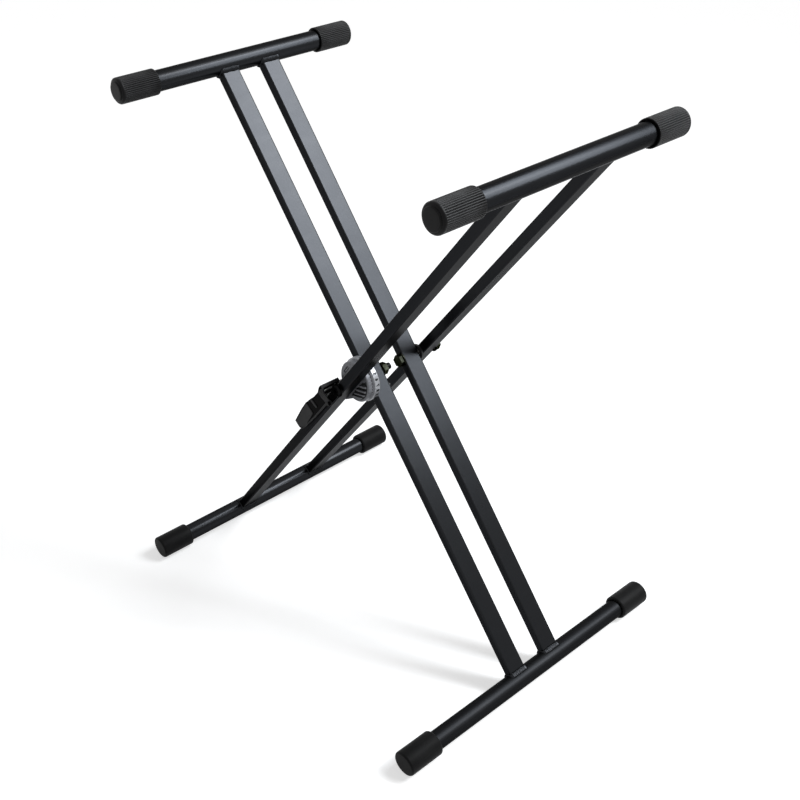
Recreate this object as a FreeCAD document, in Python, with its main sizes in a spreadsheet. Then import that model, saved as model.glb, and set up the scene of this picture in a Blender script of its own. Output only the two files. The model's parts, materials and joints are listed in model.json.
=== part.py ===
"""Folding keyboard stand: two equal X frames of steel tube that cross at a locking pivot.

Millimetres. Row frame: Z up, Y along the bars, X the way the stand opens; the origin is on the
floor below the pivot. The inner frame leans to -X at the top and the outer frame to +X. Every
piece is drawn in its own frame's terms (origin on the pivot axis, Z up along the legs, X across
their thin side) and then leaned over, so one set of sizes serves both frames.
"""
import FreeCAD, Part
import os

import Sketcher

SIZES = [
    # the two frames
    ("lean_angle", 38.6, "lean of each frame from upright, in degrees"),
    ("pivot_to_foot", 506.4, "pivot axis to the foot bar's axis"),
    ("pivot_to_top", 493.6, "pivot axis to the top bar's axis"),
    ("inner_near_y", -24.5, "middle of the inner frame's near leg"),
    ("inner_leg_spacing", 72.2, "between the middles of the inner frame's legs"),
    ("clutch_gap", 20.0, "between the two near legs"),
    ("spacer_gap", 3.4, "between the two far legs"),
    # rectangular leg tube
    ("leg_width", 30.0, "leg tube along the pivot"),
    ("leg_depth", 15.0, "leg tube across the frame"),
    ("leg_wall", 1.5, "wall of the leg tube"),
    ("leg_corner", 2.5, "outer corner radius of the leg tube"),
    # round bars and their rubber ends
    ("bar_diameter", 28.8, "top and foot bars"),
    ("bar_wall", 1.5, "wall of the bars"),
    ("top_span", 408.0, "top bar over its rubber grips"),
    ("foot_span", 519.0, "foot bar over its rubber feet"),
    ("rubber_end_wall", 3.0, "rubber beyond the end of a bar"),
    ("grip_diameter", 35.6, "ribbed grip over its ribs"),
    ("grip_length", 62.0, "ribbed grip"),
    ("grip_shoulder", 5.0, "plain shoulder at the grip's outer end"),
    ("grip_rounding", 2.5, "rounding of the grip's outer edge"),
    ("grip_disc_diameter", 26.0, "smooth raised disc on the grip's end"),
    ("grip_disc_height", 1.0, "how far that disc stands out"),
    ("rib_count", 40, "ribs around a grip"),
    ("rib_groove_width", 1.3, "groove between two ribs"),
    ("rib_groove_depth", 0.9, "depth of that groove"),
    ("foot_cap_diameter", 38.4, "rubber foot"),
    ("foot_cap_length", 59.0, "rubber foot"),
    ("foot_cap_rounding", 3.5, "rounding of the rubber foot's edges"),
    # pivot bolts and what runs on them
    ("bolt_diameter", 10.0, "pivot bolts"),
    ("bolt_clearance", 0.05, "radial clearance of everything on a bolt"),
    ("face_gap", 0.2, "side play between faces that turn on each other"),
    ("sleeve_diameter", 14.0, "crush sleeve through each leg"),
    ("washer_diameter", 21.0, "pivot washers"),
    ("washer_thickness", 1.5, "pivot washers"),
    ("button_diameter", 18.0, "low round head of the near bolt"),
    ("button_height", 3.2, "low round head of the near bolt"),
    ("socket_flats", 6.0, "hexagon socket in that head"),
    ("socket_depth", 2.0, "hexagon socket in that head"),
    ("hexagon_flats", 17.0, "hexagon head and nuts"),
    ("hexagon_head_height", 6.4, "hexagon head of the far bolt"),
    ("nut_height", 8.0, "pivot nuts"),
    ("near_bolt_stub", 8.0, "near bolt past its nut"),
    ("far_bolt_stub", 3.0, "far bolt past its nut"),
    ("spacer_diameter", 26.0, "spacer between the far legs"),
    # clutch on the near side
    ("disc_diameter", 68.0, "notched disc on the inner leg"),
    ("disc_thickness", 9.8, "notched disc"),
    ("disc_edge", 1.0, "chamfer of the disc's rim"),
    ("clutch_clearance", 0.3, "between the disc and the housing"),
    ("hub_diameter", 30.0, "notched hub inside the housing"),
    ("hub_height", 5.6, "notched hub inside the housing"),
    ("notch_count", 24, "notches around the hub"),
    ("notch_width", 2.4, "notch"),
    ("notch_depth", 1.8, "notch"),
    ("core_count", 6, "weight-saving pockets in the back of the disc"),
    ("core_diameter", 11.0, "one of those pockets"),
    ("core_circle", 46.0, "circle that they stand on"),
    ("core_depth", 6.0, "one of those pockets"),
    ("rivet_diameter", 5.0, "rivets that hold the disc"),
    ("rivet_spacing", 50.0, "between the two rivets"),
    ("rivet_head_diameter", 9.5, "head of a rivet"),
    ("rivet_head_height", 1.8, "head of a rivet"),
    ("housing_diameter", 63.0, "housing on the outer leg"),
    ("housing_edge", 2.0, "rounding of the housing's outer edge"),
    ("housing_floor", 3.6, "wall between the housing's cavity and the leg"),
    ("hub_room", 2.6, "radial room around the hub"),
    ("tail_shoulder_half", 17.0, "half width of the tail at its shoulder"),
    ("tail_shoulder_drop", 21.0, "shoulder below the pivot"),
    ("tail_end_half", 7.5, "half width of the tail at its end"),
    ("tail_length", 45.0, "end of the tail below the pivot"),
    ("face_recess", 1.2, "depth of the recess in the housing's face"),
    ("face_groove", 1.4, "further depth of the slanted grooves"),
    ("face_groove_width", 2.6, "slanted groove"),
    ("face_groove_pitch", 8.0, "between slanted grooves"),
    ("slot_width", 4.6, "oval recess beside the leg"),
    ("slot_length", 17.0, "oval recess beside the leg"),
    ("slot_offset", 22.0, "oval recess from the leg's middle"),
    # locking pawl
    ("pawl_thickness", 4.0, "pawl plate"),
    ("pawl_half_width", 6.0, "pawl plate"),
    ("pawl_side_gap", 0.3, "pawl to its channel"),
    ("pawl_shoulder", 17.6, "top of the pawl plate below the pivot"),
    ("pawl_bottom", 43.5, "lower edge of the pawl's tail below the pivot"),
    ("pawl_tail_height", 8.0, "height of the pawl's tail"),
    ("nose_width", 2.0, "nose of the pawl"),
    ("nose_gap", 0.3, "nose to the hub's notches with the lever at rest"),
    ("window_half_width", 2.4, "spring window in the pawl"),
    ("window_top", 19.6, "top of the spring window below the pivot"),
    ("window_bottom", 34.0, "bottom of the spring window below the pivot"),
    ("spring_wire", 0.7, "wire of the pawl spring"),
    ("spring_diameter", 3.6, "pawl spring over its wire"),
    ("spring_length", 8.0, "pawl spring"),
    ("spring_turns", 5.0, "pawl spring"),
    ("post_diameter", 3.6, "post that the spring pushes on"),
    ("post_drop", 31.6, "post below the pivot"),
    # release lever
    ("strap_thickness", 1.5, "steel strap under the lever"),
    ("strap_top", 9.0, "upper end of the strap above the pivot"),
    ("strap_bottom", 41.0, "lower end of the strap below the pivot"),
    ("pin_diameter", 4.0, "lever pin"),
    ("pin_clearance", 0.05, "radial clearance of the lever on its pin"),
    ("pin_drop", 34.0, "lever pin below the pivot"),
    ("pin_across", 4.6, "lever pin from the leg's middle"),
    ("pin_head_diameter", 7.0, "head of the lever pin"),
    ("pin_head_height", 1.2, "head of the lever pin"),
    ("arm_thickness", 2.2, "lever's side arm beside the strap"),
    ("arm_half_width", 4.0, "lever's side arm at the pin"),
    ("cheek_gap", 0.5, "lever's cheeks to the leg"),
    ("far_cheek_thickness", 3.4, "lever's far cheek"),
    ("lever_wall", 3.0, "outer wall of the lever"),
    ("lever_end", 149.0, "free end of the lever below the pivot"),
    ("paddle_top", 91.0, "upper end of the lever's wide paddle below the pivot"),
    ("neck_top", 47.0, "upper end of the lever's neck below the pivot"),
    ("neck_half_width", 11.5, "half width of the lever's neck"),
    ("yoke_top", 31.0, "upper end of the lever below the pivot"),
    ("yoke_reach", 25.0, "outer face of the yoke from the leg's middle"),
    ("neck_reach", 21.5, "outer face of the neck from the leg's middle"),
    ("paddle_reach", 26.0, "outer face of the paddle from the leg's middle"),
    ("end_reach", 20.8, "outer face of the free end from the leg's middle"),
    ("link_across", 17.4, "link pin from the leg's middle"),
    ("link_drop", 39.4, "link pin below the pivot"),
    ("link_diameter", 4.0, "link pin"),
    ("link_clearance", 0.1, "link pin in the pawl's slot"),
    ("link_recess", 0.2, "end of the link pin below the lever's near face"),
    # details of outlines and cuts
    ("run_out", 1.0, "how far a cut runs past the face that it opens"),
    ("field_margin", 2.0, "land around the recess in the housing's face"),
    ("groove_margin", 1.0, "land between the leg and the slanted grooves"),
    ("groove_start", 13.0, "lower end of the middle slanted groove below the pivot"),
    ("window_reach", 24.36, "side window for the pawl's tail, from the leg's middle"),
    ("slot_room_outside", 0.3, "room in the pawl's slot on the paddle's side"),
    ("slot_room_inside", 0.9, "room in the pawl's slot on the leg's side"),
    ("strap_corner", 3.0, "cut corners at the strap's upper end"),
    ("arm_shoulder", 1.0, "end of the arm's full width below the pin"),
    ("arm_bend", 30.35, "bend of the arm's inner edge above the free end"),
    ("paddle_bend", 35.76, "bend of the paddle's outer face above the free end"),
    ("paddle_bend_inset", 1.0, "that bend in from the paddle's outer face"),
    ("end_corner", 3.0, "cut corner at the lever's free end"),
    ("neck_inset_low", 1.0, "neck's inner face short of a leg's depth, at the paddle"),
    ("neck_inset_high", 1.5, "neck's inner face short of a leg's depth, at the yoke"),
    ("neck_straight", 14.0, "straight upper part of the neck"),
    ("yoke_inset", 2.0, "yoke's floor short of a leg's depth from the leg's middle"),
    ("yoke_floor", 2.0, "thickness of the yoke's floor"),
    ("yoke_corner_outside", 6.0, "height of the yoke's outer corner"),
    ("yoke_corner_inside", 3.0, "height and inset of the yoke's inner corner"),
    ("bridge_drop", 8.0, "lower corner of the bridge from yoke to arm, below the pin"),
]

# shares that keep an outline in proportion, whatever its size
BUTTON_ROUNDING = 0.8                                     # of the round head's height
WAIST = (0.42, 0.18)                                      # of the housing's diameter
FIELD_TOP = 0.86                                          # of the reach inside the rim
FIELD_EDGE = ((0.66, 0.70), (0.90, 0.30), (0.86, -0.18))  # of the same reach
FIELD_BOTTOM = 1.3                                        # of the tail shoulder's drop
GROOVE_END = 0.36                                         # of the housing's diameter

doc = FreeCAD.newDocument("keyboard_stand")
dims = doc.addObject("Spreadsheet::Sheet", "dims")
for row, (alias, value, note) in enumerate(SIZES, start=1):
    dims.set(f"A{row}", alias)
    dims.set(f"B{row}", str(value))
    dims.set(f"C{row}", note)
    dims.setAlias(f"B{row}", alias)
doc.recompute()

# ---------------------------------------------------------------- places worked out from the sizes
LEG_LENGTH = "(dims.pivot_to_foot + dims.pivot_to_top)"
PIVOT_HEIGHT = "(dims.foot_cap_diameter / 2 + dims.pivot_to_foot * cos(dims.lean_angle * 1 deg))"
INNER_NEAR = "dims.inner_near_y"
INNER_FAR = "(dims.inner_near_y + dims.inner_leg_spacing)"
OUTER_NEAR = "(dims.inner_near_y - dims.leg_width - dims.clutch_gap)"
OUTER_FAR = "(dims.inner_near_y + dims.inner_leg_spacing + dims.leg_width + dims.spacer_gap)"

CLUTCH_FAR = "(dims.inner_near_y - dims.leg_width / 2)"
CLUTCH_NEAR = f"({CLUTCH_FAR} - dims.clutch_gap)"
DISC_FACE = f"({CLUTCH_FAR} - dims.disc_thickness)"
HOUSING_FACE = f"({DISC_FACE} - dims.clutch_clearance)"
HOUSING_THICKNESS = "(dims.clutch_gap - dims.disc_thickness - dims.clutch_clearance)"
CAVITY_FLOOR = f"({CLUTCH_NEAR} + dims.housing_floor)"
PAWL_NEAR = f"({CAVITY_FLOOR} + dims.pawl_side_gap)"
OUTER_NEAR_FACE = f"({CLUTCH_NEAR} - dims.leg_width)"
STRAP_FACE = f"({OUTER_NEAR_FACE} - dims.strap_thickness)"
ARM_INSIDE = f"({STRAP_FACE} - dims.face_gap)"
ARM_FACE = f"({ARM_INSIDE} - dims.arm_thickness)"
FAR_CHEEK = f"({CLUTCH_NEAR} + dims.cheek_gap)"
LEVER_FAR_FACE = f"({FAR_CHEEK} + dims.far_cheek_thickness)"
INNER_NEAR_BACK = "(dims.inner_near_y + dims.leg_width / 2)"
INNER_FAR_FACE = f"({INNER_FAR} - dims.leg_width / 2)"
INNER_FAR_BACK = f"({INNER_FAR} + dims.leg_width / 2)"
OUTER_FAR_BACK = f"({OUTER_FAR} + dims.leg_width / 2)"

BOLT_BORE = "(dims.bolt_diameter / 2 + dims.bolt_clearance)"
HEXAGON_CORNER = "(dims.hexagon_flats / sqrt(3))"

OUTER = 1     # leans to +X
INNER = -1    # leans to -X
NEAR = -1     # the bar end at -Y
FAR = 1       # the bar end at +Y

pieces = []


def size(expression):
    """The present value of an expression in the sheet's terms."""
    return float(dims.evalExpression(expression))


def new_body(name):
    """An empty body whose label is the name of its node."""
    body = doc.addObject("PartDesign::Body", name)
    body.Label = name
    pieces.append(body)
    return body


def place(piece, side, y="0", z="0"):
    """Stands a piece in its frame, with its own origin at y along the pivot and z up the legs."""
    lean = FreeCAD.Rotation(FreeCAD.Vector(0, side, 0), size("dims.lean_angle"))
    piece.Placement = FreeCAD.Placement(FreeCAD.Vector(0, 0, 0), lean)
    piece.setExpression("Placement.Rotation.Angle", "dims.lean_angle")
    piece.setExpression("Placement.Base.x", f"{side} * ({z}) * sin(dims.lean_angle * 1 deg)")
    piece.setExpression("Placement.Base.y", y)
    piece.setExpression("Placement.Base.z", f"{PIVOT_HEIGHT} + ({z}) * cos(dims.lean_angle * 1 deg)")


def new_sketch(body, plane, offset="0"):
    """A sketch on one of the body's own origin planes, moved along the plane's normal."""
    sketch = body.newObject("Sketcher::SketchObject", f"{body.Name}_sketch")
    support = [feature for feature in body.Origin.OriginFeatures if feature.Role == plane]
    sketch.AttachmentSupport = [(support[0], "")]
    sketch.MapMode = "FlatFace"
    sketch.setExpression("AttachmentOffset.Base.z", offset)
    return sketch


def bind(sketch, kind, where, expression):
    """Adds one constraint to a sketch and ties it to the sheet."""
    index = sketch.addConstraint(Sketcher.Constraint(kind, *where, size(expression)))
    label = f"size{index}"
    sketch.renameConstraint(index, label)
    sketch.setExpression(f"Constraints.{label}", expression)


def circle(sketch, across, up, radius):
    """A circle in a sketch."""
    centre = FreeCAD.Vector(size(across), size(up), 0)
    index = sketch.addGeometry(Part.Circle(centre, FreeCAD.Vector(0, 0, 1), size(radius)), False)
    bind(sketch, "DistanceX", (-1, 1, index, 3), across)
    bind(sketch, "DistanceY", (-1, 1, index, 3), up)
    bind(sketch, "Radius", (index,), radius)


def polygon(sketch, corners):
    """A closed outline of straight lines; each corner is a pair of expressions."""
    points = [FreeCAD.Vector(size(across), size(up), 0) for across, up in corners]
    count = len(points)
    lines = [sketch.addGeometry(Part.LineSegment(points[i], points[(i + 1) % count]), False)
             for i in range(count)]
    for i in range(count):
        sketch.addConstraint(Sketcher.Constraint("Coincident", lines[i], 2, lines[(i + 1) % count], 1))
    for line, (across, up) in zip(lines, corners):
        bind(sketch, "DistanceX", (-1, 1, line, 1), across)
        bind(sketch, "DistanceY", (-1, 1, line, 1), up)


def rectangle(sketch, left, right, bottom, top):
    """A rectangle by its four sides."""
    polygon(sketch, [(left, bottom), (right, bottom), (right, top), (left, top)])


def hexagon(sketch, corner_radius):
    """A hexagon around the origin, with two corners on the vertical axis."""
    corners = [(f"{corner_radius} * sin({60 * i} deg)", f"{corner_radius} * cos({60 * i} deg)")
               for i in range(6)]
    polygon(sketch, corners)


def pad(body, sketch, length, symmetric=False):
    """Extrudes a sketch along its normal: on an XZ sketch that is towards -Y."""
    feature = body.newObject("PartDesign::Pad", f"{body.Name}_pad")
    feature.Profile = sketch
    feature.setExpression("Length", length)
    feature.Midplane = symmetric
    doc.recompute()
    return feature


def pocket(body, sketch, length=None):
    """Cuts a sketch out against its normal (towards +Y on an XZ sketch), or right through."""
    before = body.Shape.Volume
    feature = body.newObject("PartDesign::Pocket", f"{body.Name}_pocket")
    feature.Profile = sketch
    if length is None:
        feature.Type = "ThroughAll"
        feature.Midplane = True
    else:
        feature.setExpression("Length", length)
    doc.recompute()
    if body.Shape.Volume >= before:
        raise RuntimeError(f"{feature.Name} cuts nothing")
    return feature


def slab(body, far_y, thickness, corners):
    """A straight-sided plate square to the pivot, from far_y towards the near side."""
    sketch = new_sketch(body, "XZ_Plane", f"-({far_y})")
    polygon(sketch, corners)
    pad(body, sketch, thickness)


def drum(body, far_y, thickness, radius, across="0", up="0"):
    """A round plate square to the pivot, from far_y towards the near side."""
    sketch = new_sketch(body, "XZ_Plane", f"-({far_y})")
    circle(sketch, across, up, radius)
    pad(body, sketch, thickness)


def bore(body, near_y, depth, radius, across="0", up="0"):
    """A round pocket from near_y towards the far side."""
    sketch = new_sketch(body, "XZ_Plane", f"-({near_y})")
    circle(sketch, across, up, radius)
    return pocket(body, sketch, depth)


def through_bores(body, holes):
    """Round holes right through a body; each hole is (across, up, radius)."""
    sketch = new_sketch(body, "XZ_Plane")
    for across, up, radius in holes:
        circle(sketch, across, up, radius)
    pocket(body, sketch)


def dress(body, kind, edge_names, **values):
    """Rounds or chamfers edges of the body's present tip."""
    tip = body.Tip
    feature = body.newObject(f"PartDesign::{kind}", f"{body.Name}_{kind.lower()}")
    feature.Base = (tip, edge_names)
    for name, expression in values.items():
        feature.setExpression(name, expression)
    doc.recompute()
    return feature


def edges_where(feature, test):
    """Names of the feature's edges that pass a test."""
    return [f"Edge{i}" for i, edge in enumerate(feature.Shape.Edges, start=1) if test(edge)]


def is_upright(edge):
    """True for a straight edge along the body's Z."""
    box = edge.BoundBox
    return box.XLength < 1e-6 and box.YLength < 1e-6


def is_round(edge, radius, y):
    """True for a full circle of this radius that lies at this y."""
    return (edge.Curve.TypeId == "Part::GeomCircle" and edge.Closed
            and abs(edge.Curve.Radius - radius) < 1e-6 and abs(edge.BoundBox.Center.y - y) < 1e-6)


def polar(body, feature, count):
    """Repeats a feature around the pivot axis."""
    pattern = body.newObject("PartDesign::PolarPattern", f"{body.Name}_pattern")
    pattern.Originals = [feature]
    axis = [item for item in body.Origin.OriginFeatures if item.Role == "Y_Axis"]
    pattern.Axis = (axis[0], [""])
    pattern.Angle = 360
    pattern.setExpression("Occurrences", count)
    body.Tip = pattern
    doc.recompute()
    return pattern


# ---------------------------------------------------------------- tubes and rubber
def leg(name, side, y, extra_holes=()):
    """A rectangular tube, coped over both bars and bored for its crush sleeve."""
    body = new_body(name)
    section = new_sketch(body, "XY_Plane", "-dims.pivot_to_foot")
    rectangle(section, "-dims.leg_depth / 2", "dims.leg_depth / 2",
              "-dims.leg_width / 2", "dims.leg_width / 2")
    blank = pad(body, section, LEG_LENGTH)
    dress(body, "Fillet", edges_where(blank, is_upright), Radius="dims.leg_corner")

    inside = new_sketch(body, "XY_Plane", "dims.pivot_to_top")
    rectangle(inside, "dims.leg_wall - dims.leg_depth / 2", "dims.leg_depth / 2 - dims.leg_wall",
              "dims.leg_wall - dims.leg_width / 2", "dims.leg_width / 2 - dims.leg_wall")
    pocket(body, inside, LEG_LENGTH)

    through_bores(body, [("0", "dims.pivot_to_top", "dims.bar_diameter / 2"),
                         ("0", "-dims.pivot_to_foot", "dims.bar_diameter / 2"),
                         ("0", "0", "dims.sleeve_diameter / 2"), *extra_holes])
    place(body, side, y)


def bar(name, side, span, z):
    """A round tube along the pivot, closed at both ends by its rubber."""
    body = new_body(name)
    section = new_sketch(body, "XZ_Plane")
    circle(section, "0", "0", "dims.bar_diameter / 2")
    circle(section, "0", "0", "dims.bar_diameter / 2 - dims.bar_wall")
    pad(body, section, f"{span} - 2 * dims.rubber_end_wall", symmetric=True)
    place(body, side, z=z)


def revolve_about_pivot(body, corners):
    """Turns an outline of (radius, y) corners about the body's Y axis."""
    sketch = new_sketch(body, "XY_Plane")
    polygon(sketch, corners)
    feature = body.newObject("PartDesign::Revolution", f"{body.Name}_revolution")
    feature.Profile = sketch
    feature.ReferenceAxis = (sketch, ["V_Axis"])
    feature.Angle = 360
    doc.recompute()
    return feature


def grip(name, side, end):
    """A ribbed rubber grip over one end of a top bar."""
    body = new_body(name)
    inner_end = f"{end} * (dims.top_span / 2 - dims.grip_length)"
    seat = f"{end} * (dims.top_span / 2 - dims.rubber_end_wall)"
    shoulder = f"{end} * (dims.top_span / 2 - dims.grip_disc_height)"
    tip = f"{end} * dims.top_span / 2"
    outer = "dims.grip_diameter / 2"
    bar_radius = "dims.bar_diameter / 2"
    turned = revolve_about_pivot(body, [
        (bar_radius, inner_end), (outer, inner_end), (outer, shoulder),
        ("dims.grip_disc_diameter / 2", shoulder), ("dims.grip_disc_diameter / 2", tip),
        ("0", tip), ("0", seat), (bar_radius, seat)])
    radius = size(outer)
    rims = edges_where(turned, lambda edge: is_round(edge, radius, size(shoulder)))
    dress(body, "Fillet", rims, Radius="dims.grip_rounding")

    ribbed_length = "(dims.grip_length - dims.grip_shoulder)"
    near_end = f"({inner_end})" if end == FAR else f"({inner_end} - {ribbed_length})"
    groove = new_sketch(body, "XZ_Plane", f"-{near_end}")
    rectangle(groove, "-dims.rib_groove_width / 2", "dims.rib_groove_width / 2",
              f"{outer} - dims.rib_groove_depth", f"{outer} + dims.run_out")
    polar(body, pocket(body, groove, ribbed_length), "dims.rib_count")
    place(body, side, z="dims.pivot_to_top")


def foot_cap(name, side, end):
    """A plain rubber foot over one end of a foot bar."""
    body = new_body(name)
    inner_end = f"{end} * (dims.foot_span / 2 - dims.foot_cap_length)"
    seat = f"{end} * (dims.foot_span / 2 - dims.rubber_end_wall)"
    tip = f"{end} * dims.foot_span / 2"
    outer = "dims.foot_cap_diameter / 2"
    bar_radius = "dims.bar_diameter / 2"
    turned = revolve_about_pivot(body, [
        (bar_radius, inner_end), (outer, inner_end), (outer, tip),
        ("0", tip), ("0", seat), (bar_radius, seat)])
    radius = size(outer)
    rims = edges_where(turned, lambda edge: is_round(edge, radius, edge.BoundBox.Center.y))
    dress(body, "Fillet", rims, Radius="dims.foot_cap_rounding")
    place(body, side, z="-dims.pivot_to_foot")


# ---------------------------------------------------------------- pivot hardware
def sleeve(name, side, y):
    """A steel sleeve that keeps a leg from being crushed by its bolt."""
    body = new_body(name)
    section = new_sketch(body, "XZ_Plane")
    circle(section, "0", "0", "dims.sleeve_diameter / 2")
    circle(section, "0", "0", BOLT_BORE)
    pad(body, section, "dims.leg_width", symmetric=True)
    place(body, side, y)


def ring(name, side, far_y, thickness, diameter):
    """A flat ring on a pivot bolt."""
    body = new_body(name)
    section = new_sketch(body, "XZ_Plane", f"-({far_y})")
    circle(section, "0", "0", f"{diameter} / 2")
    circle(section, "0", "0", BOLT_BORE)
    pad(body, section, thickness)
    place(body, side)


def nut(name, far_y):
    """A plain hexagon nut."""
    body = new_body(name)
    section = new_sketch(body, "XZ_Plane", f"-({far_y})")
    hexagon(section, HEXAGON_CORNER)
    circle(section, "0", "0", BOLT_BORE)
    pad(body, section, "dims.nut_height")
    place(body, INNER)


NEAR_WASHER = f"({STRAP_FACE} - dims.face_gap)"
NEAR_HEAD = f"({NEAR_WASHER} - dims.washer_thickness)"
NEAR_NUT_WASHER = f"({INNER_NEAR_BACK} + dims.washer_thickness)"
NEAR_NUT = f"({NEAR_NUT_WASHER} + dims.nut_height)"
NEAR_TIP = f"({NEAR_NUT} + dims.near_bolt_stub)"
FAR_HEAD = f"({INNER_FAR_FACE} - dims.washer_thickness)"
FAR_NUT_WASHER = f"({OUTER_FAR_BACK} + dims.face_gap + dims.washer_thickness)"
FAR_NUT = f"({FAR_NUT_WASHER} + dims.nut_height)"
FAR_TIP = f"({FAR_NUT} + dims.far_bolt_stub)"


def near_bolt():
    """The near pivot bolt: a low round head with a hexagon socket, outside the strap."""
    body = new_body("near_pivot_bolt")
    drum(body, NEAR_TIP, f"{NEAR_TIP} - {NEAR_HEAD}", "dims.bolt_diameter / 2")
    drum(body, NEAR_HEAD, "dims.button_height", "dims.button_diameter / 2")
    radius = size("dims.button_diameter / 2")
    face = size(f"{NEAR_HEAD} - dims.button_height")
    rim = edges_where(body.Tip, lambda edge: is_round(edge, radius, face))
    dress(body, "Fillet", rim, Radius=f"dims.button_height * {BUTTON_ROUNDING}")
    socket = new_sketch(body, "XZ_Plane", f"-({NEAR_HEAD} - dims.button_height)")
    hexagon(socket, "dims.socket_flats / sqrt(3)")
    pocket(body, socket, "dims.socket_depth")
    place(body, INNER)


def far_bolt():
    """The far pivot bolt: a hexagon head between the inner legs."""
    body = new_body("far_pivot_bolt")
    drum(body, FAR_TIP, f"{FAR_TIP} - {FAR_HEAD}", "dims.bolt_diameter / 2")
    head = new_sketch(body, "XZ_Plane", f"-({FAR_HEAD})")
    hexagon(head, HEXAGON_CORNER)
    pad(body, head, "dims.hexagon_head_height")
    place(body, INNER)


# ---------------------------------------------------------------- clutch
RIVET_UP = "dims.rivet_spacing / 2"


def locking_disc():
    """The cast disc on the inner leg: a numbered rim and a notched hub."""
    body = new_body("locking_disc")
    drum(body, CLUTCH_FAR, "dims.disc_thickness", "dims.disc_diameter / 2")
    radius = size("dims.disc_diameter / 2")
    rims = edges_where(body.Tip, lambda edge: is_round(edge, radius, edge.BoundBox.Center.y))
    dress(body, "Chamfer", rims, Size="dims.disc_edge")
    drum(body, DISC_FACE, "dims.hub_height", "dims.hub_diameter / 2")

    through_bores(body, [("0", "0", BOLT_BORE),
                         ("0", RIVET_UP, "dims.rivet_diameter / 2"),
                         ("0", f"-{RIVET_UP}", "dims.rivet_diameter / 2")])
    sinks = new_sketch(body, "XZ_Plane", f"-({DISC_FACE})")
    circle(sinks, "0", RIVET_UP, "dims.rivet_head_diameter / 2 + dims.clutch_clearance")
    circle(sinks, "0", f"-{RIVET_UP}", "dims.rivet_head_diameter / 2 + dims.clutch_clearance")
    pocket(body, sinks, "dims.rivet_head_height + dims.clutch_clearance")

    # the notch that faces the pawl lies along the outer leg, which leans twice as far from this one
    notch_angle = "(2 * dims.lean_angle * 1 deg)"
    along = (f"(-sin{notch_angle})", f"(-cos{notch_angle})")
    aside = (f"(cos{notch_angle})", f"(-sin{notch_angle})")

    def corner(out, across):
        """A place by its distance out along the notch and across it."""
        return (f"({out}) * {along[0]} + ({across}) * {aside[0]}",
                f"({out}) * {along[1]} + ({across}) * {aside[1]}")

    root = "dims.hub_diameter / 2 - dims.notch_depth"
    outside = "dims.hub_diameter / 2 + dims.run_out"
    half = "dims.notch_width / 2"
    notch = new_sketch(body, "XZ_Plane", f"-({DISC_FACE} - dims.hub_height)")
    polygon(notch, [corner(root, f"-{half}"), corner(outside, f"-{half}"),
                    corner(outside, half), corner(root, half)])
    polar(body, pocket(body, notch, "dims.hub_height"), "dims.notch_count")

    core = bore(body, f"{CLUTCH_FAR} - dims.core_depth", "dims.core_depth",
                "dims.core_diameter / 2", across="dims.core_circle / 2")
    polar(body, core, "dims.core_count")
    place(body, INNER)


def disc_rivet(name, up):
    """A rivet through the disc and the inner near leg, with its heads at either end."""
    body = new_body(name)
    sunk_face = f"({DISC_FACE} + dims.clutch_clearance)"
    head_seat = f"({sunk_face} + dims.rivet_head_height)"
    drum(body, f"{INNER_NEAR_BACK} + dims.rivet_head_height",
         f"{INNER_NEAR_BACK} + dims.rivet_head_height - {sunk_face}", "dims.rivet_diameter / 2", up=up)
    drum(body, head_seat, "dims.rivet_head_height", "dims.rivet_head_diameter / 2", up=up)
    drum(body, f"{INNER_NEAR_BACK} + dims.rivet_head_height", "dims.rivet_head_height",
         "dims.rivet_head_diameter / 2", up=up)
    place(body, INNER)


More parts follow.
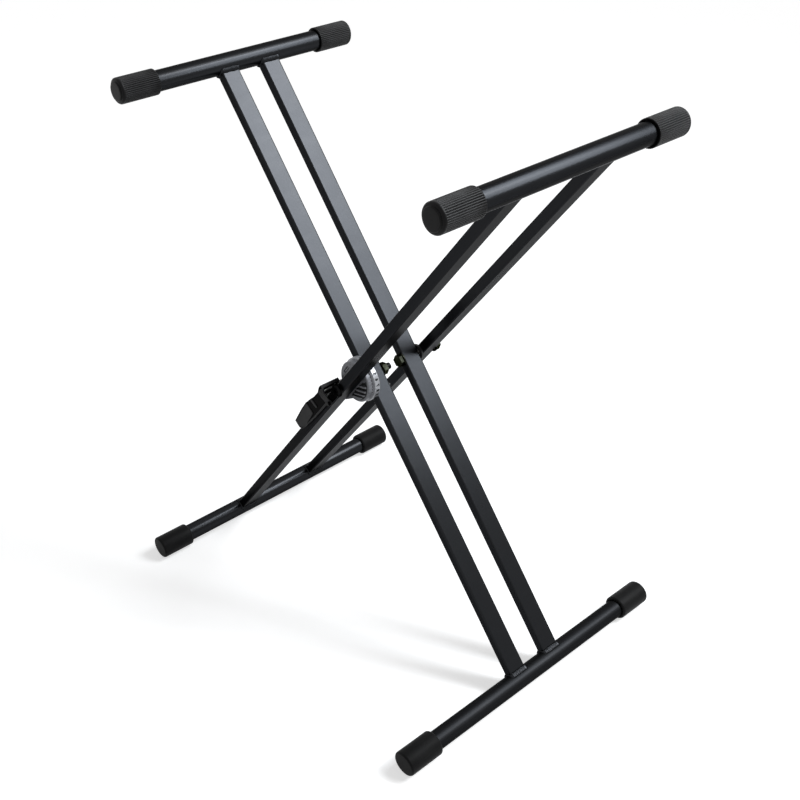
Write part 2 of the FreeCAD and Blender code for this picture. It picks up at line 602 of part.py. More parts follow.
def clutch_housing():
    """The cast housing on the outer leg: a drum over the hub and a tail around the pawl."""
    body = new_body("clutch_housing")
    drum(body, HOUSING_FACE, HOUSING_THICKNESS, "dims.housing_diameter / 2")
    radius = size("dims.housing_diameter / 2")
    near = size(CLUTCH_NEAR)
    rim = edges_where(body.Tip, lambda edge: is_round(edge, radius, near))
    dress(body, "Fillet", rim, Radius="dims.housing_edge")
    shoulder = ("dims.tail_shoulder_half", "-dims.tail_shoulder_drop")
    end = ("dims.tail_end_half", "-dims.tail_length")
    waist = (f"dims.housing_diameter * {WAIST[0]}", f"-dims.housing_diameter * {WAIST[1]}")
    slab(body, HOUSING_FACE, HOUSING_THICKNESS, [
        ("0", "0"), waist, shoulder, end,
        (f"-{end[0]}", end[1]), (f"-{shoulder[0]}", shoulder[1]), (f"-{waist[0]}", waist[1])])

    cavity_depth = f"({HOUSING_FACE} - {CAVITY_FLOOR})"
    bore(body, CAVITY_FLOOR, cavity_depth, "dims.hub_diameter / 2 + dims.hub_room")
    channel_half = "(dims.pawl_half_width + dims.pawl_side_gap)"
    channel = new_sketch(body, "XZ_Plane", f"-({CAVITY_FLOOR})")
    below_tail = "-dims.tail_length - dims.run_out"
    rectangle(channel, f"-{channel_half}", channel_half, below_tail, "0")
    pocket(body, channel, cavity_depth)
    side_window = new_sketch(body, "XZ_Plane", f"-({CAVITY_FLOOR})")
    rectangle(side_window, "-dims.window_reach", "0", below_tail,
              "dims.pawl_tail_height + dims.pawl_side_gap - dims.pawl_bottom")
    pocket(body, side_window, cavity_depth)
    through_bores(body, [("0", "0", BOLT_BORE)])
    drum(body, f"{PAWL_NEAR} + dims.pawl_thickness", f"dims.pawl_thickness + dims.pawl_side_gap",
         "dims.post_diameter / 2", up="-dims.post_drop")
    bore(body, CLUTCH_NEAR, "dims.housing_floor", "dims.pin_diameter / 2",
         across="dims.pin_across", up="-dims.pin_drop")

    recess = new_sketch(body, "XZ_Plane", f"-({CLUTCH_NEAR})")
    rim_reach = "(dims.housing_diameter / 2 - dims.housing_edge)"
    field_start = "dims.leg_depth / 2 + dims.field_margin"
    along_rim = [(f"{rim_reach} * {across}", f"{rim_reach} * ({up})") for across, up in FIELD_EDGE]
    polygon(recess, [(field_start, f"{rim_reach} * {FIELD_TOP}"), *along_rim,
                     ("dims.tail_shoulder_half - dims.field_margin",
                      "dims.field_margin - dims.tail_shoulder_drop"),
                     (field_start, f"-dims.tail_shoulder_drop * {FIELD_BOTTOM}")])
    pocket(body, recess, "dims.face_recess")
    left = "dims.leg_depth / 2 + dims.groove_margin"
    right = f"dims.housing_diameter * {GROOVE_END}"
    rise = f"({right} - ({left}))"
    for step in (-1, 0, 1):
        groove = new_sketch(body, "XZ_Plane", f"-({CLUTCH_NEAR})")
        low = f"({step} * dims.face_groove_pitch - dims.groove_start)"
        polygon(groove, [(left, low), (right, f"{low} + {rise}"),
                         (right, f"{low} + {rise} + dims.face_groove_width"),
                         (left, f"{low} + dims.face_groove_width")])
        pocket(body, groove, "dims.face_recess + dims.face_groove")

    oval = new_sketch(body, "XZ_Plane", f"-({CLUTCH_NEAR})")
    oval_half = "(dims.slot_width / 2)"
    oval_flat = "(dims.slot_length / 2 - dims.slot_width / 2)"
    polygon(oval, [(f"-dims.slot_offset + {oval_half}", f"-{oval_flat}"),
                   (f"-dims.slot_offset + {oval_half}", oval_flat),
                   ("-dims.slot_offset", f"{oval_flat} + {oval_half}"),
                   (f"-dims.slot_offset - {oval_half}", oval_flat),
                   (f"-dims.slot_offset - {oval_half}", f"-{oval_flat}"),
                   ("-dims.slot_offset", f"-{oval_flat} - {oval_half}")])
    pocket(body, oval, "dims.face_recess + dims.face_groove")
    place(body, OUTER)


def locking_pawl():
    """The steel plate that slides in the housing's tail and locks the notched hub."""
    body = new_body("locking_pawl")
    far = f"({PAWL_NEAR} + dims.pawl_thickness)"
    half = "dims.pawl_half_width"
    nose_top = "-dims.hub_diameter / 2 - dims.nose_gap"
    tail_top = "dims.pawl_tail_height - dims.pawl_bottom"
    tail_reach = "-dims.link_across - dims.link_diameter"
    slab(body, far, "dims.pawl_thickness", [
        ("-dims.nose_width / 2", nose_top), ("-dims.nose_width / 2", "-dims.pawl_shoulder"),
        (f"-{half}", "-dims.pawl_shoulder"), (f"-{half}", tail_top), (tail_reach, tail_top),
        (tail_reach, "-dims.pawl_bottom"), (half, "-dims.pawl_bottom"), (half, "-dims.pawl_shoulder"),
        ("dims.nose_width / 2", "-dims.pawl_shoulder"), ("dims.nose_width / 2", nose_top)])
    window = new_sketch(body, "XZ_Plane")
    rectangle(window, "-dims.window_half_width", "dims.window_half_width",
              "-dims.window_bottom", "-dims.window_top")
    pocket(body, window)
    link_half = "(dims.link_diameter / 2 + dims.link_clearance)"
    slot = new_sketch(body, "XZ_Plane")
    rectangle(slot, f"-dims.link_across - {link_half} - dims.slot_room_outside",
              f"-dims.link_across + {link_half} + dims.slot_room_inside",
              f"-dims.link_drop - {link_half}", f"-dims.link_drop + {link_half}")
    pocket(body, slot)
    place(body, OUTER)


def pawl_spring():
    """The coil spring in the pawl's window, which pushes the nose towards the hub."""
    body = new_body("pawl_spring")
    wire = new_sketch(body, "XZ_Plane")
    circle(wire, "(dims.spring_diameter - dims.spring_wire) / 2", "0", "dims.spring_wire / 2")
    coil = body.newObject("PartDesign::AdditiveHelix", "pawl_spring_coil")
    coil.Profile = wire
    axis = [item for item in body.Origin.OriginFeatures if item.Role == "Z_Axis"]
    coil.ReferenceAxis = (axis[0], [""])
    coil.Mode = 0
    coil.setExpression("Height", "dims.spring_length - dims.spring_wire")
    coil.setExpression("Pitch", "(dims.spring_length - dims.spring_wire) / dims.spring_turns")
    doc.recompute()
    place(body, OUTER, f"{PAWL_NEAR} + dims.pawl_thickness / 2",
          "dims.spring_wire / 2 - dims.window_top - dims.spring_length")


# ---------------------------------------------------------------- release lever
def lever_strap():
    """The steel strap held flat on the outer near leg by the bolt and the lever pin."""
    body = new_body("lever_strap")
    half = "(dims.leg_depth / 2 - dims.leg_corner / 2)"
    slab(body, OUTER_NEAR_FACE, "dims.strap_thickness", [
        (f"-{half}", "-dims.strap_bottom"), (half, "-dims.strap_bottom"),
        (half, "dims.strap_top - dims.strap_corner"), (f"{half} - dims.strap_corner", "dims.strap_top"),
        (f"dims.strap_corner - {half}", "dims.strap_top"),
        (f"-{half}", "dims.strap_top - dims.strap_corner")])
    through_bores(body, [("0", "0", BOLT_BORE),
                         ("dims.pin_across", "-dims.pin_drop", "dims.pin_diameter / 2")])
    place(body, OUTER)


def lever_pin():
    """The headed pin through lever, strap, leg and housing."""
    body = new_body("lever_pin")
    across = "dims.pin_across"
    up = "-dims.pin_drop"
    head_seat = f"({ARM_FACE} - dims.face_gap)"
    far = f"({CLUTCH_NEAR} + dims.housing_floor)"
    drum(body, far, f"{far} - {head_seat}", "dims.pin_diameter / 2", across, up)
    drum(body, head_seat, "dims.pin_head_height", "dims.pin_head_diameter / 2", across, up)
    place(body, OUTER)


def release_lever():
    """The moulded lever: a side arm on the pin, a yoke, a narrow neck and a wide paddle."""
    body = new_body("release_lever")
    pin_x = "dims.pin_across"
    pin_z = "-dims.pin_drop"
    arm = "dims.arm_half_width"
    outer_top = ("-dims.paddle_reach", "-dims.paddle_top")
    outer_bend = ("dims.paddle_bend_inset - dims.paddle_reach", "dims.paddle_bend - dims.lever_end")
    outer_end = ("-dims.end_reach", "-dims.lever_end")
    inner_end = ("-dims.leg_depth / 2", "-dims.lever_end")
    end_corner = ("0", "dims.end_corner - dims.lever_end")
    inner_top = ("0", "-dims.paddle_top")
    shoulder = f"{pin_z} - dims.arm_shoulder"
    slab(body, ARM_INSIDE, "dims.arm_thickness", [
        (f"{pin_x} - {arm}", shoulder), (f"{pin_x} - {arm} / 2", f"{pin_z} + {arm}"),
        (f"{pin_x} + {arm} / 2", f"{pin_z} + {arm}"), (f"{pin_x} + {arm}", shoulder),
        (arm, "dims.arm_bend - dims.lever_end"), end_corner, inner_end, outer_end, outer_bend, outer_top,
        inner_top])

    near_fill = "(dims.face_gap + dims.strap_thickness - dims.cheek_gap)"
    cheek = [outer_end, inner_end, end_corner, inner_top, outer_top, outer_bend]
    slab(body, f"{OUTER_NEAR_FACE} - dims.cheek_gap", near_fill, cheek)
    slab(body, LEVER_FAR_FACE, "dims.far_cheek_thickness", cheek)
    palm_wall = [outer_end, *[(f"dims.lever_wall + ({across})", up)
                              for across, up in (outer_end, outer_bend, outer_top)],
                 outer_top, outer_bend]
    slab(body, LEVER_FAR_FACE, f"{LEVER_FAR_FACE} - {ARM_FACE}", palm_wall)

    neck_outside = ("-dims.neck_reach", "-dims.neck_top")
    slab(body, f"{OUTER_NEAR} + dims.neck_half_width", "2 * dims.neck_half_width", [
        outer_top, ("dims.neck_inset_low - dims.leg_depth", "-dims.paddle_top"),
        ("dims.neck_inset_high - dims.leg_depth", "-dims.neck_top"), neck_outside,
        ("-dims.neck_reach", "-dims.neck_top - dims.neck_straight")])

    yoke_far = f"({CLUTCH_NEAR} + dims.cheek_gap)"
    yoke_inside = "dims.yoke_inset - dims.leg_depth"
    yoke_floor = "dims.yoke_floor - dims.neck_top"
    yoke_outside = ("-dims.yoke_reach", "-dims.yoke_top")
    outside_corner = ("-dims.yoke_reach", "-dims.yoke_top - dims.yoke_corner_outside")
    inside_corner = ("dims.yoke_corner_inside - dims.leg_depth", "-dims.yoke_top - dims.yoke_corner_inside")
    slab(body, yoke_far, f"{yoke_far} - {ARM_FACE}", [
        neck_outside, (yoke_inside, "-dims.neck_top"), (yoke_inside, yoke_floor),
        ("-dims.neck_reach + dims.lever_wall", yoke_floor),
        ("-dims.yoke_reach + dims.lever_wall", "-dims.yoke_top"), yoke_outside, outside_corner])
    yoke_side = [yoke_outside, outside_corner, neck_outside, (yoke_inside, "-dims.neck_top"),
                 inside_corner, ("-dims.link_across", "-dims.yoke_top")]
    slab(body, yoke_far, "dims.lever_wall", yoke_side)
    slab(body, f"{ARM_FACE} + dims.lever_wall", "dims.lever_wall", yoke_side)
    slab(body, ARM_INSIDE, "dims.arm_thickness", [
        (yoke_inside, "-dims.neck_top"), (f"{pin_x} - {arm}", f"{pin_z} - dims.bridge_drop"),
        (f"{pin_x} - {arm}", pin_z), inside_corner])

    bore(body, f"{ARM_FACE} - dims.run_out", "dims.arm_thickness + dims.run_out + dims.face_gap / 2",
         "dims.pin_diameter / 2 + dims.pin_clearance", pin_x, pin_z)
    through_bores(body, [("-dims.link_across", "-dims.link_drop", "dims.link_diameter / 2")])
    place(body, OUTER)


def link_pin():
    """The bright cross pin in the lever's yoke, which draws the pawl back."""
    body = new_body("link_pin")
    far = f"({PAWL_NEAR} + dims.pawl_thickness + dims.pawl_side_gap)"
    near = f"({ARM_FACE} + dims.link_recess)"
    drum(body, far, f"{far} - {near}", "dims.link_diameter / 2", "-dims.link_across", "-dims.link_drop")
    place(body, OUTER)


# ---------------------------------------------------------------- the whole stand
rivet_holes = [("0", RIVET_UP, "dims.rivet_diameter / 2"), ("0", f"-{RIVET_UP}", "dims.rivet_diameter / 2")]
pin_hole = [("dims.pin_across", "-dims.pin_drop", "dims.pin_diameter / 2")]
leg("inner_leg_near", INNER, INNER_NEAR, rivet_holes)
leg("inner_leg_far", INNER, INNER_FAR)
leg("outer_leg_near", OUTER, OUTER_NEAR, pin_hole)
leg("outer_leg_far", OUTER, OUTER_FAR)
for prefix, side in (("inner", INNER), ("outer", OUTER)):
    bar(f"{prefix}_top_bar", side, "dims.top_span", "dims.pivot_to_top")
    bar(f"{prefix}_foot_bar", side, "dims.foot_span", "-dims.pivot_to_foot")
    for suffix, end in (("near", NEAR), ("far", FAR)):
        grip(f"{prefix}_top_grip_{suffix}", side, end)
        foot_cap(f"{prefix}_foot_cap_{suffix}", side, end)

sleeve("inner_sleeve_near", INNER, INNER_NEAR)
sleeve("inner_sleeve_far", INNER, INNER_FAR)
sleeve("outer_sleeve_near", OUTER, OUTER_NEAR)
sleeve("outer_sleeve_far", OUTER, OUTER_FAR)
ring("near_head_washer", INNER, NEAR_WASHER, "dims.washer_thickness", "dims.washer_diameter")
ring("near_nut_washer", INNER, NEAR_NUT_WASHER, "dims.washer_thickness", "dims.washer_diameter")
ring("far_head_washer", INNER, INNER_FAR_FACE, "dims.washer_thickness", "dims.washer_diameter")
ring("far_nut_washer", INNER, FAR_NUT_WASHER, "dims.washer_thickness", "dims.washer_diameter")
ring("far_spacer", OUTER, f"{OUTER_FAR} - dims.leg_width / 2", "dims.spacer_gap - dims.face_gap",
     "dims.spacer_diameter")
near_bolt()
far_bolt()
nut("near_pivot_nut", NEAR_NUT)
nut("far_pivot_nut", FAR_NUT)

locking_disc()
disc_rivet("disc_rivet_upper", RIVET_UP)
disc_rivet("disc_rivet_lower", f"-{RIVET_UP}")
clutch_housing()
locking_pawl()
pawl_spring()
lever_strap()
lever_pin()
release_lever()
link_pin()

doc.recompute()
for item in doc.Objects:
    if "Invalid" in item.State or "Error" in item.State:
        raise RuntimeError(f"{item.Name} failed: {item.State}")

os.makedirs("parts", exist_ok=True)
for piece in pieces:
    shape = piece.Shape
    if shape.isNull() or not shape.isValid() or len(shape.Solids) != 1:
        raise RuntimeError(f"{piece.Label} is not one sound solid")
    shape.exportStep(f"parts/{piece.Label}.step")
    print(f"{piece.Label:22s} {shape.Volume / 1000:9.2f} cm3")
print(len(pieces), "pieces")
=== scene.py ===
# %% [markdown]
# # A folding keyboard stand in satin black steel
# The frame holds the stand as it was built: four leg tubes, four round bars, two pivot bolts and a
# small locking clutch with its squeeze lever. This lesson dresses it. The steel gets its powder
# coat, the bar ends get their moulded rubber, the joints get weld beads and the clutch gets its
# cast skin and dial numbers. The model could be loaded again for every idea, but one fixed frame
# at the top keeps every later piece in the same metres and the same axes.

import json
import math

import bmesh
import bpy
from mathutils import Matrix, Vector, noise


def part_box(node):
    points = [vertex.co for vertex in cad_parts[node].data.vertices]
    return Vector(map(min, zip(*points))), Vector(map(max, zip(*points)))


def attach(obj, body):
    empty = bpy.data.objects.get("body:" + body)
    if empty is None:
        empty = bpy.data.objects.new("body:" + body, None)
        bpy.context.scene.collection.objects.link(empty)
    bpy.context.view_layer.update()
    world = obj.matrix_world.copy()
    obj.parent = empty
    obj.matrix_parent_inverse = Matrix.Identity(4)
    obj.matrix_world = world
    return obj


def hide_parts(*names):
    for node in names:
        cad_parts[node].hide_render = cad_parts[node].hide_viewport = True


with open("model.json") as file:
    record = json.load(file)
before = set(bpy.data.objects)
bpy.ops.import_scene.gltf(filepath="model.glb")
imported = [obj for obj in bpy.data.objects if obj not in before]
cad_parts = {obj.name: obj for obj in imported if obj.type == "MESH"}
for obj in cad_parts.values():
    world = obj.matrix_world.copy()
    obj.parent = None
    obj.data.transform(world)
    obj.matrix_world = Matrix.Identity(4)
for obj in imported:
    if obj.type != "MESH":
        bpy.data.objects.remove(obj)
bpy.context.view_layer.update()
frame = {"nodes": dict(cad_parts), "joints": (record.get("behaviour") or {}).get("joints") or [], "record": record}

# %% [markdown]
# ## The two leaning frames
# Each frame leans over by the same angle, one to either side, and crosses the other at the pivot.
# The places on it could be typed in as world coordinates, but they are easier to read along the
# leg: n across its thin side, y along the pivot, u up the leg from the pivot. The joints that came
# with the model say where the pivot is and which way the outer legs lean.

# %% Leg coordinates
MM = 0.001
INNER = -1
OUTER = 1

joints = {joint["name"]: joint for joint in frame["joints"]}
PIVOT = Vector(joints["frame_fold"]["pos_m"])
down_leg = Vector(joints["pawl_slide"]["axis"])
LEAN = math.atan2(-down_leg.x, -down_leg.z)
LEG_FRAME = {side: Matrix.Translation(PIVOT) @ Matrix.Rotation(side * LEAN, 4, "Y")
             for side in (INNER, OUTER)}
SIDE_OF_BODY = {"inner_frame": INNER, "outer_frame": OUTER}


def node_size(name):
    """The lengths of a node's box along X, Y and Z."""
    low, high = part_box(name)
    return high - low


def bar_height(name, side):
    """How far up the leg, from the pivot, a bar's axis lies."""
    low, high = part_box(name)
    return (LEG_FRAME[side].inverted() @ ((low + high) / 2)).z


LEG_WIDTH = node_size("inner_leg_near").y
LEG_DEPTH = 15 * MM
LEG_CORNER = 2.5 * MM
BAR_RADIUS = node_size("inner_top_bar").z / 2
print("pivot", [round(value, 4) for value in PIVOT], "lean", round(math.degrees(LEAN), 2), "degrees")
print("bar radius", round(BAR_RADIUS / MM, 2), "mm, leg", round(LEG_WIDTH / MM, 1), "mm wide")

# %% [markdown]
# ## The camera
# The photograph looks down on the stand from beyond the outer frame's top bar. The view could be
# found by eye, but edges of the stand fix it: this camera came from fitting the tubes' edges, and
# is written as a place, three angles and a lens. A shift stands for a picture that was cropped off
# centre, which keeps the perspective of the uncropped one.

# %% Camera
CAMERA_PLACE = Vector((1029.4, -898.8, 1228.2)) * MM
CAMERA_YAW = -0.8951
CAMERA_PITCH = -0.6241
CAMERA_ROLL = -0.0484
PICTURE_SIDE = 800
FOCAL_PIXELS = 1069.8
CENTRE_RIGHT = 350.8
CENTRE_DOWN = 462.45

forward = Vector((math.sin(CAMERA_YAW) * math.cos(CAMERA_PITCH),
                  math.cos(CAMERA_YAW) * math.cos(CAMERA_PITCH), math.sin(CAMERA_PITCH)))
level_right = Vector((math.cos(CAMERA_YAW), -math.sin(CAMERA_YAW), 0))
level_up = level_right.cross(forward)
right = level_right * math.cos(CAMERA_ROLL) + level_up * math.sin(CAMERA_ROLL)
up = level_up * math.cos(CAMERA_ROLL) - level_right * math.sin(CAMERA_ROLL)

lens = bpy.data.cameras.new("photo_camera")
lens.sensor_width = 36
lens.lens = FOCAL_PIXELS / PICTURE_SIDE * lens.sensor_width
lens.shift_x = 0.5 - CENTRE_RIGHT / PICTURE_SIDE
lens.shift_y = CENTRE_DOWN / PICTURE_SIDE - 0.5
lens.clip_start = 0.05
lens.clip_end = 60
camera = bpy.data.objects.new("photo_camera", lens)
camera.matrix_world = Matrix.Translation(CAMERA_PLACE) @ Matrix(
    (right, up, -forward)).transposed().to_4x4()
bpy.context.scene.collection.objects.link(camera)
bpy.context.scene.camera = camera
print("lens", round(lens.lens, 2), "mm, shift", round(lens.shift_x, 4), round(lens.shift_y, 4))

# %% [markdown]
# ## Shader groups that several finishes share
# Paint, rubber and cast metal all carry the same kinds of small unevenness: a fine grain from the
# spray or the mould, and slow cloudy changes from handling. They could be painted as textures, but
# procedural noise needs no files and stays sharp at any distance. Each effect is one node group,
# built once, and every finish sets its own sizes and strengths.

# %% Node group helpers
def new_group(name, inputs, outputs):
    """A shader group with named sockets; each input is (name, kind, default)."""
    group = bpy.data.node_groups.new(name, "ShaderNodeTree")
    for label, kind, default in inputs:
        socket = group.interface.new_socket(label, in_out="INPUT", socket_type=kind)
        if default is not None:
            socket.default_value = default
    for label, kind in outputs:
        group.interface.new_socket(label, in_out="OUTPUT", socket_type=kind)
    return group, group.nodes.new("NodeGroupInput"), group.nodes.new("NodeGroupOutput")


def add_node(tree, kind, links=(), **settings):
    """A node with its settings; links are (socket name, source socket or value)."""
    node = tree.nodes.new(kind)
    for key, value in settings.items():
        setattr(node, key, value)
    for name, source in links:
        socket = node.inputs[name]
        if isinstance(source, bpy.types.NodeSocket):
            tree.links.new(source, socket)
        else:
            socket.default_value = source
    return node


def blend_colour(tree, factor, low, high):
    """A mix of two colours by a mask."""
    mix = tree.nodes.new("ShaderNodeMix")
    mix.data_type = "RGBA"
    for socket, source in ((mix.inputs[0], factor), (mix.inputs[6], low), (mix.inputs[7], high)):
        if isinstance(source, bpy.types.NodeSocket):
            tree.links.new(source, socket)
        else:
            socket.default_value = source
    return mix.outputs[2]


# %% Grain: the fine texture left by a spray gun, a mould or a casting
def build_grain():
    """Two sizes of noise for a bump, and a slow cloud for colour and gloss."""
    group, given, made = new_group(
        "surface_grain",
        [("Grain Scale", "NodeSocketFloat", 1500.0), ("Cloud Scale", "NodeSocketFloat", 9.0),
         ("Coarse Share", "NodeSocketFloat", 0.35)],
        [("Height", "NodeSocketFloat"), ("Cloud", "NodeSocketFloat")])
    place = add_node(group, "ShaderNodeTexCoord")
    fine = add_node(group, "ShaderNodeTexNoise", [
        ("Vector", place.outputs["Object"]), ("Scale", given.outputs["Grain Scale"]), ("Detail", 3.0)])
    coarse_scale = add_node(group, "ShaderNodeMath", [(0, given.outputs["Grain Scale"]), (1, 0.22)],
                            operation="MULTIPLY")
    coarse = add_node(group, "ShaderNodeTexNoise", [
        ("Vector", place.outputs["Object"]), ("Scale", coarse_scale.outputs[0]), ("Detail", 2.0)])
    height = add_node(group, "ShaderNodeMix", [
        ("Factor", given.outputs["Coarse Share"]), ("A", fine.outputs["Fac"]),
        ("B", coarse.outputs["Fac"])])
    cloud = add_node(group, "ShaderNodeTexNoise", [
        ("Vector", place.outputs["Object"]), ("Scale", given.outputs["Cloud Scale"]), ("Detail", 4.0),
        ("Roughness", 0.6)])
    group.links.new(height.outputs[0], made.inputs["Height"])
    group.links.new(cloud.outputs["Fac"], made.inputs["Cloud"])
    return group


# %% Rubbing: small paler flecks where hands, cases and floors have touched
STREAK_START = 0.78
STREAK_FULL = 0.85


def build_rubbing():
    """A sparse mask of short scuffs, from stretched noise cut off high."""
    group, given, made = new_group(
        "light_rubbing",
        [("Scale", "NodeSocketFloat", 60.0), ("Cover", "NodeSocketFloat", 0.3)],
        [("Mask", "NodeSocketFloat")])
    place = add_node(group, "ShaderNodeTexCoord")
    stretch = add_node(group, "ShaderNodeMapping", [
        ("Vector", place.outputs["Object"]), ("Scale", (1.0, 0.25, 1.0))])
    streaks = add_node(group, "ShaderNodeTexNoise", [
        ("Vector", stretch.outputs[0]), ("Scale", given.outputs["Scale"]), ("Detail", 6.0),
        ("Roughness", 0.7)])
    floor_level = add_node(group, "ShaderNodeMath", [(0, STREAK_START), (1, given.outputs["Cover"])],
                           operation="SUBTRACT")
    cut = add_node(group, "ShaderNodeMapRange", [
        ("Value", streaks.outputs["Fac"]), ("From Min", floor_level.outputs[0]),
        ("From Max", STREAK_FULL), ("To Min", 0.0), ("To Max", 1.0)])
    group.links.new(cut.outputs[0], made.inputs["Mask"])
    return group


GRAIN = build_grain()
RUBBING = build_rubbing()
print("groups:", [group.name for group in bpy.data.node_groups])


# %% A finish: one material from a pair of colours, a gloss range and the shared groups
def new_finish(name, colour, worn_colour, gloss, grain_scale, grain_height, coarse_share=0.35,
               cloud_scale=9.0, rub_cover=0.3, rub_scale=60.0, metallic=0.0, specular=0.5,
               glancing=(1, 1, 1)):
    """gloss is (smoothest, roughest); grain_height is in metres."""
    material = bpy.data.materials.new(name)
    material.use_nodes = True
    tree = material.node_tree
    shader = tree.nodes["Principled BSDF"]
    shader.inputs["Metallic"].default_value = metallic
    shader.inputs["Specular IOR Level"].default_value = specular
    shader.inputs["Specular Tint"].default_value = (*glancing, 1)
    grain = add_node(tree, "ShaderNodeGroup", node_tree=GRAIN)
    grain.inputs["Grain Scale"].default_value = grain_scale
    grain.inputs["Cloud Scale"].default_value = cloud_scale
    grain.inputs["Coarse Share"].default_value = coarse_share
    rubbing = add_node(tree, "ShaderNodeGroup", node_tree=RUBBING)
    rubbing.inputs["Scale"].default_value = rub_scale
    rubbing.inputs["Cover"].default_value = rub_cover
    tint = blend_colour(tree, rubbing.outputs["Mask"], (*colour, 1), (*worn_colour, 1))
    tree.links.new(tint, shader.inputs["Base Color"])
    roughness = add_node(tree, "ShaderNodeMapRange", [
        ("Value", grain.outputs["Cloud"]), ("From Min", 0.3), ("From Max", 0.7),
        ("To Min", gloss[0]), ("To Max", gloss[1])])
    tree.links.new(roughness.outputs[0], shader.inputs["Roughness"])
    bump = add_node(tree, "ShaderNodeBump", [
        ("Height", grain.outputs["Height"]), ("Strength", 1.0), ("Distance", grain_height)])
    tree.links.new(bump.outputs[0], shader.inputs["Normal"])
    return material


# %% [markdown]
# ## The finishes
# The tubes are powder coated: a thin plastic skin with a satin sheen and a faint orange peel. A
# plain glossy plastic would be the first try, but it turns pale wherever the eye grazes it, and
# this coat stays dark underneath and along its sides. So it is written as a metal whose colour is
# nearly black, with the glancing tint held down, and only a share of plain plastic. The front foot
# bar is given a duller version of the coat, because the long softbox would show in it more brightly
# than it does in the photograph. The rubber is duller still, with a fine tooth from the mould. The
# clutch is a zinc casting under silver paint, the lever a grained plastic, and the small hardware
# is zinc plated or blackened. Light reads the difference between them through roughness and bump,
# so both are set for each finish.

# %% Finishes
POWDER_COAT = new_finish("satin_powder_coat", (0.0157, 0.0165, 0.018), (0.018, 0.0188, 0.0203),
                         (0.27, 0.295), 1400, 0.000009, metallic=0.86, glancing=(0.2, 0.203, 0.212))
FOOT_BAR_COAT = new_finish("dulled_powder_coat", (0.0105, 0.011, 0.012), (0.014, 0.0146, 0.0158),
                           (0.4, 0.43), 1400, 0.000009, metallic=0.86, glancing=(0.16, 0.163, 0.17))
GRIP_RUBBER = new_finish("ribbed_grip_rubber", (0.0045, 0.0045, 0.0048), (0.009, 0.009, 0.009),
                         (0.36, 0.42), 1500, 0.000003, specular=0.11)
# The groove finish is near-black, nearly glossless rubber: painted shade for the bottoms of the grip's rib
# grooves.
GRIP_GROOVE_SHADE = new_finish("grip_groove_painted_shade", (0.0014, 0.0014, 0.0015), (0.003, 0.003, 0.003),
                         (0.6, 0.7), 1500, 0.000003, specular=0.02)
FOOT_RUBBER = new_finish("foot_rubber", (0.004, 0.004, 0.0042), (0.012, 0.012, 0.012), (0.46, 0.58),
                         1100, 0.00004, specular=0.065, coarse_share=0.6)
CAST_SILVER = new_finish("silver_painted_casting", (0.40, 0.41, 0.43), (0.1, 0.1, 0.11),
                         (0.32, 0.48), 900, 0.0001, coarse_share=0.6, cloud_scale=160.0,
                         rub_cover=0.38, rub_scale=420.0, metallic=0.55)
HOUSING_SILVER = new_finish("dull_silver_casting", (0.17, 0.175, 0.19), (0.05, 0.05, 0.055),
                            (0.42, 0.56), 900, 0.00008, coarse_share=0.6, cloud_scale=160.0,
                            rub_cover=0.36, rub_scale=420.0, metallic=0.55)
# Near-black paint for strips in the clutch's grooves and along its field's border: painted shade.
PAINTED_RECESS_SHADE = new_finish("painted_recess_shade", (0.012, 0.012, 0.013), (0.03, 0.03, 0.03), (0.6, 0.8),
                         900, 0.00005, specular=0.15)
NUMBER_PAINT = new_finish("dark_number_paint", (0.004, 0.004, 0.005), (0.03, 0.03, 0.033), (0.6, 0.75),
                          1200, 0.00002, specular=0.08, rub_cover=0.24, rub_scale=500.0)
LEVER_PLASTIC = new_finish("grained_lever_plastic", (0.009, 0.009, 0.0095), (0.017, 0.017, 0.018),
                           (0.42, 0.54), 1600, 0.00004, specular=0.12)
# The neck's finish is glossy plastic made near-black with its reflection held down: painted shade for the sunk
# neck and the rail's gap.
NECK_PLASTIC_AND_SHADE = new_finish("smooth_lever_plastic_and_painted_shade", (0.006, 0.006, 0.0065), (0.012, 0.012, 0.012),
                          (0.18, 0.26), 1600, 0.00001, metallic=0.9, glancing=(0.35, 0.35, 0.35))
BLACK_STEEL = new_finish("blackened_steel", (0.02, 0.02, 0.021), (0.06, 0.06, 0.06), (0.24, 0.34),
                         1800, 0.00001, metallic=0.6, specular=0.4)
DARK_PASSIVATE = new_finish("dark_passivated_steel", (0.011, 0.012, 0.0085), (0.05, 0.053, 0.04),
                            (0.3, 0.4), 1500, 0.00001, metallic=1.0, glancing=(0.4, 0.4, 0.36))
OILED_BLACK = new_finish("oiled_black_steel", (0.006, 0.006, 0.0062), (0.012, 0.012, 0.012),
                         (0.26, 0.36), 1800, 0.00001, metallic=1.0, glancing=(0.35, 0.35, 0.35))
ZINC_PLATE = new_finish("zinc_plated_steel", (0.5, 0.5, 0.49), (0.36, 0.36, 0.34), (0.22, 0.36),
                        1500, 0.00001, metallic=1.0)
BLACK_NYLON = new_finish("black_nylon", (0.014, 0.014, 0.015), (0.03, 0.03, 0.03), (0.4, 0.5),
                         900, 0.00002, specular=0.25)
FINISH_OF_SLOT = {
    "black_powder_coat": POWDER_COAT,
    "grip_rubber": GRIP_RUBBER,
    "foot_rubber": FOOT_RUBBER,
    "cast_alloy": CAST_SILVER,
    "lever_plastic": LEVER_PLASTIC,
    "blackened_steel": BLACK_STEEL,
    "zinc_steel": ZINC_PLATE,
    "spacer_nylon": BLACK_NYLON,
}
print("finishes:", len(bpy.data.materials), "slots:", len(FINISH_OF_SLOT))

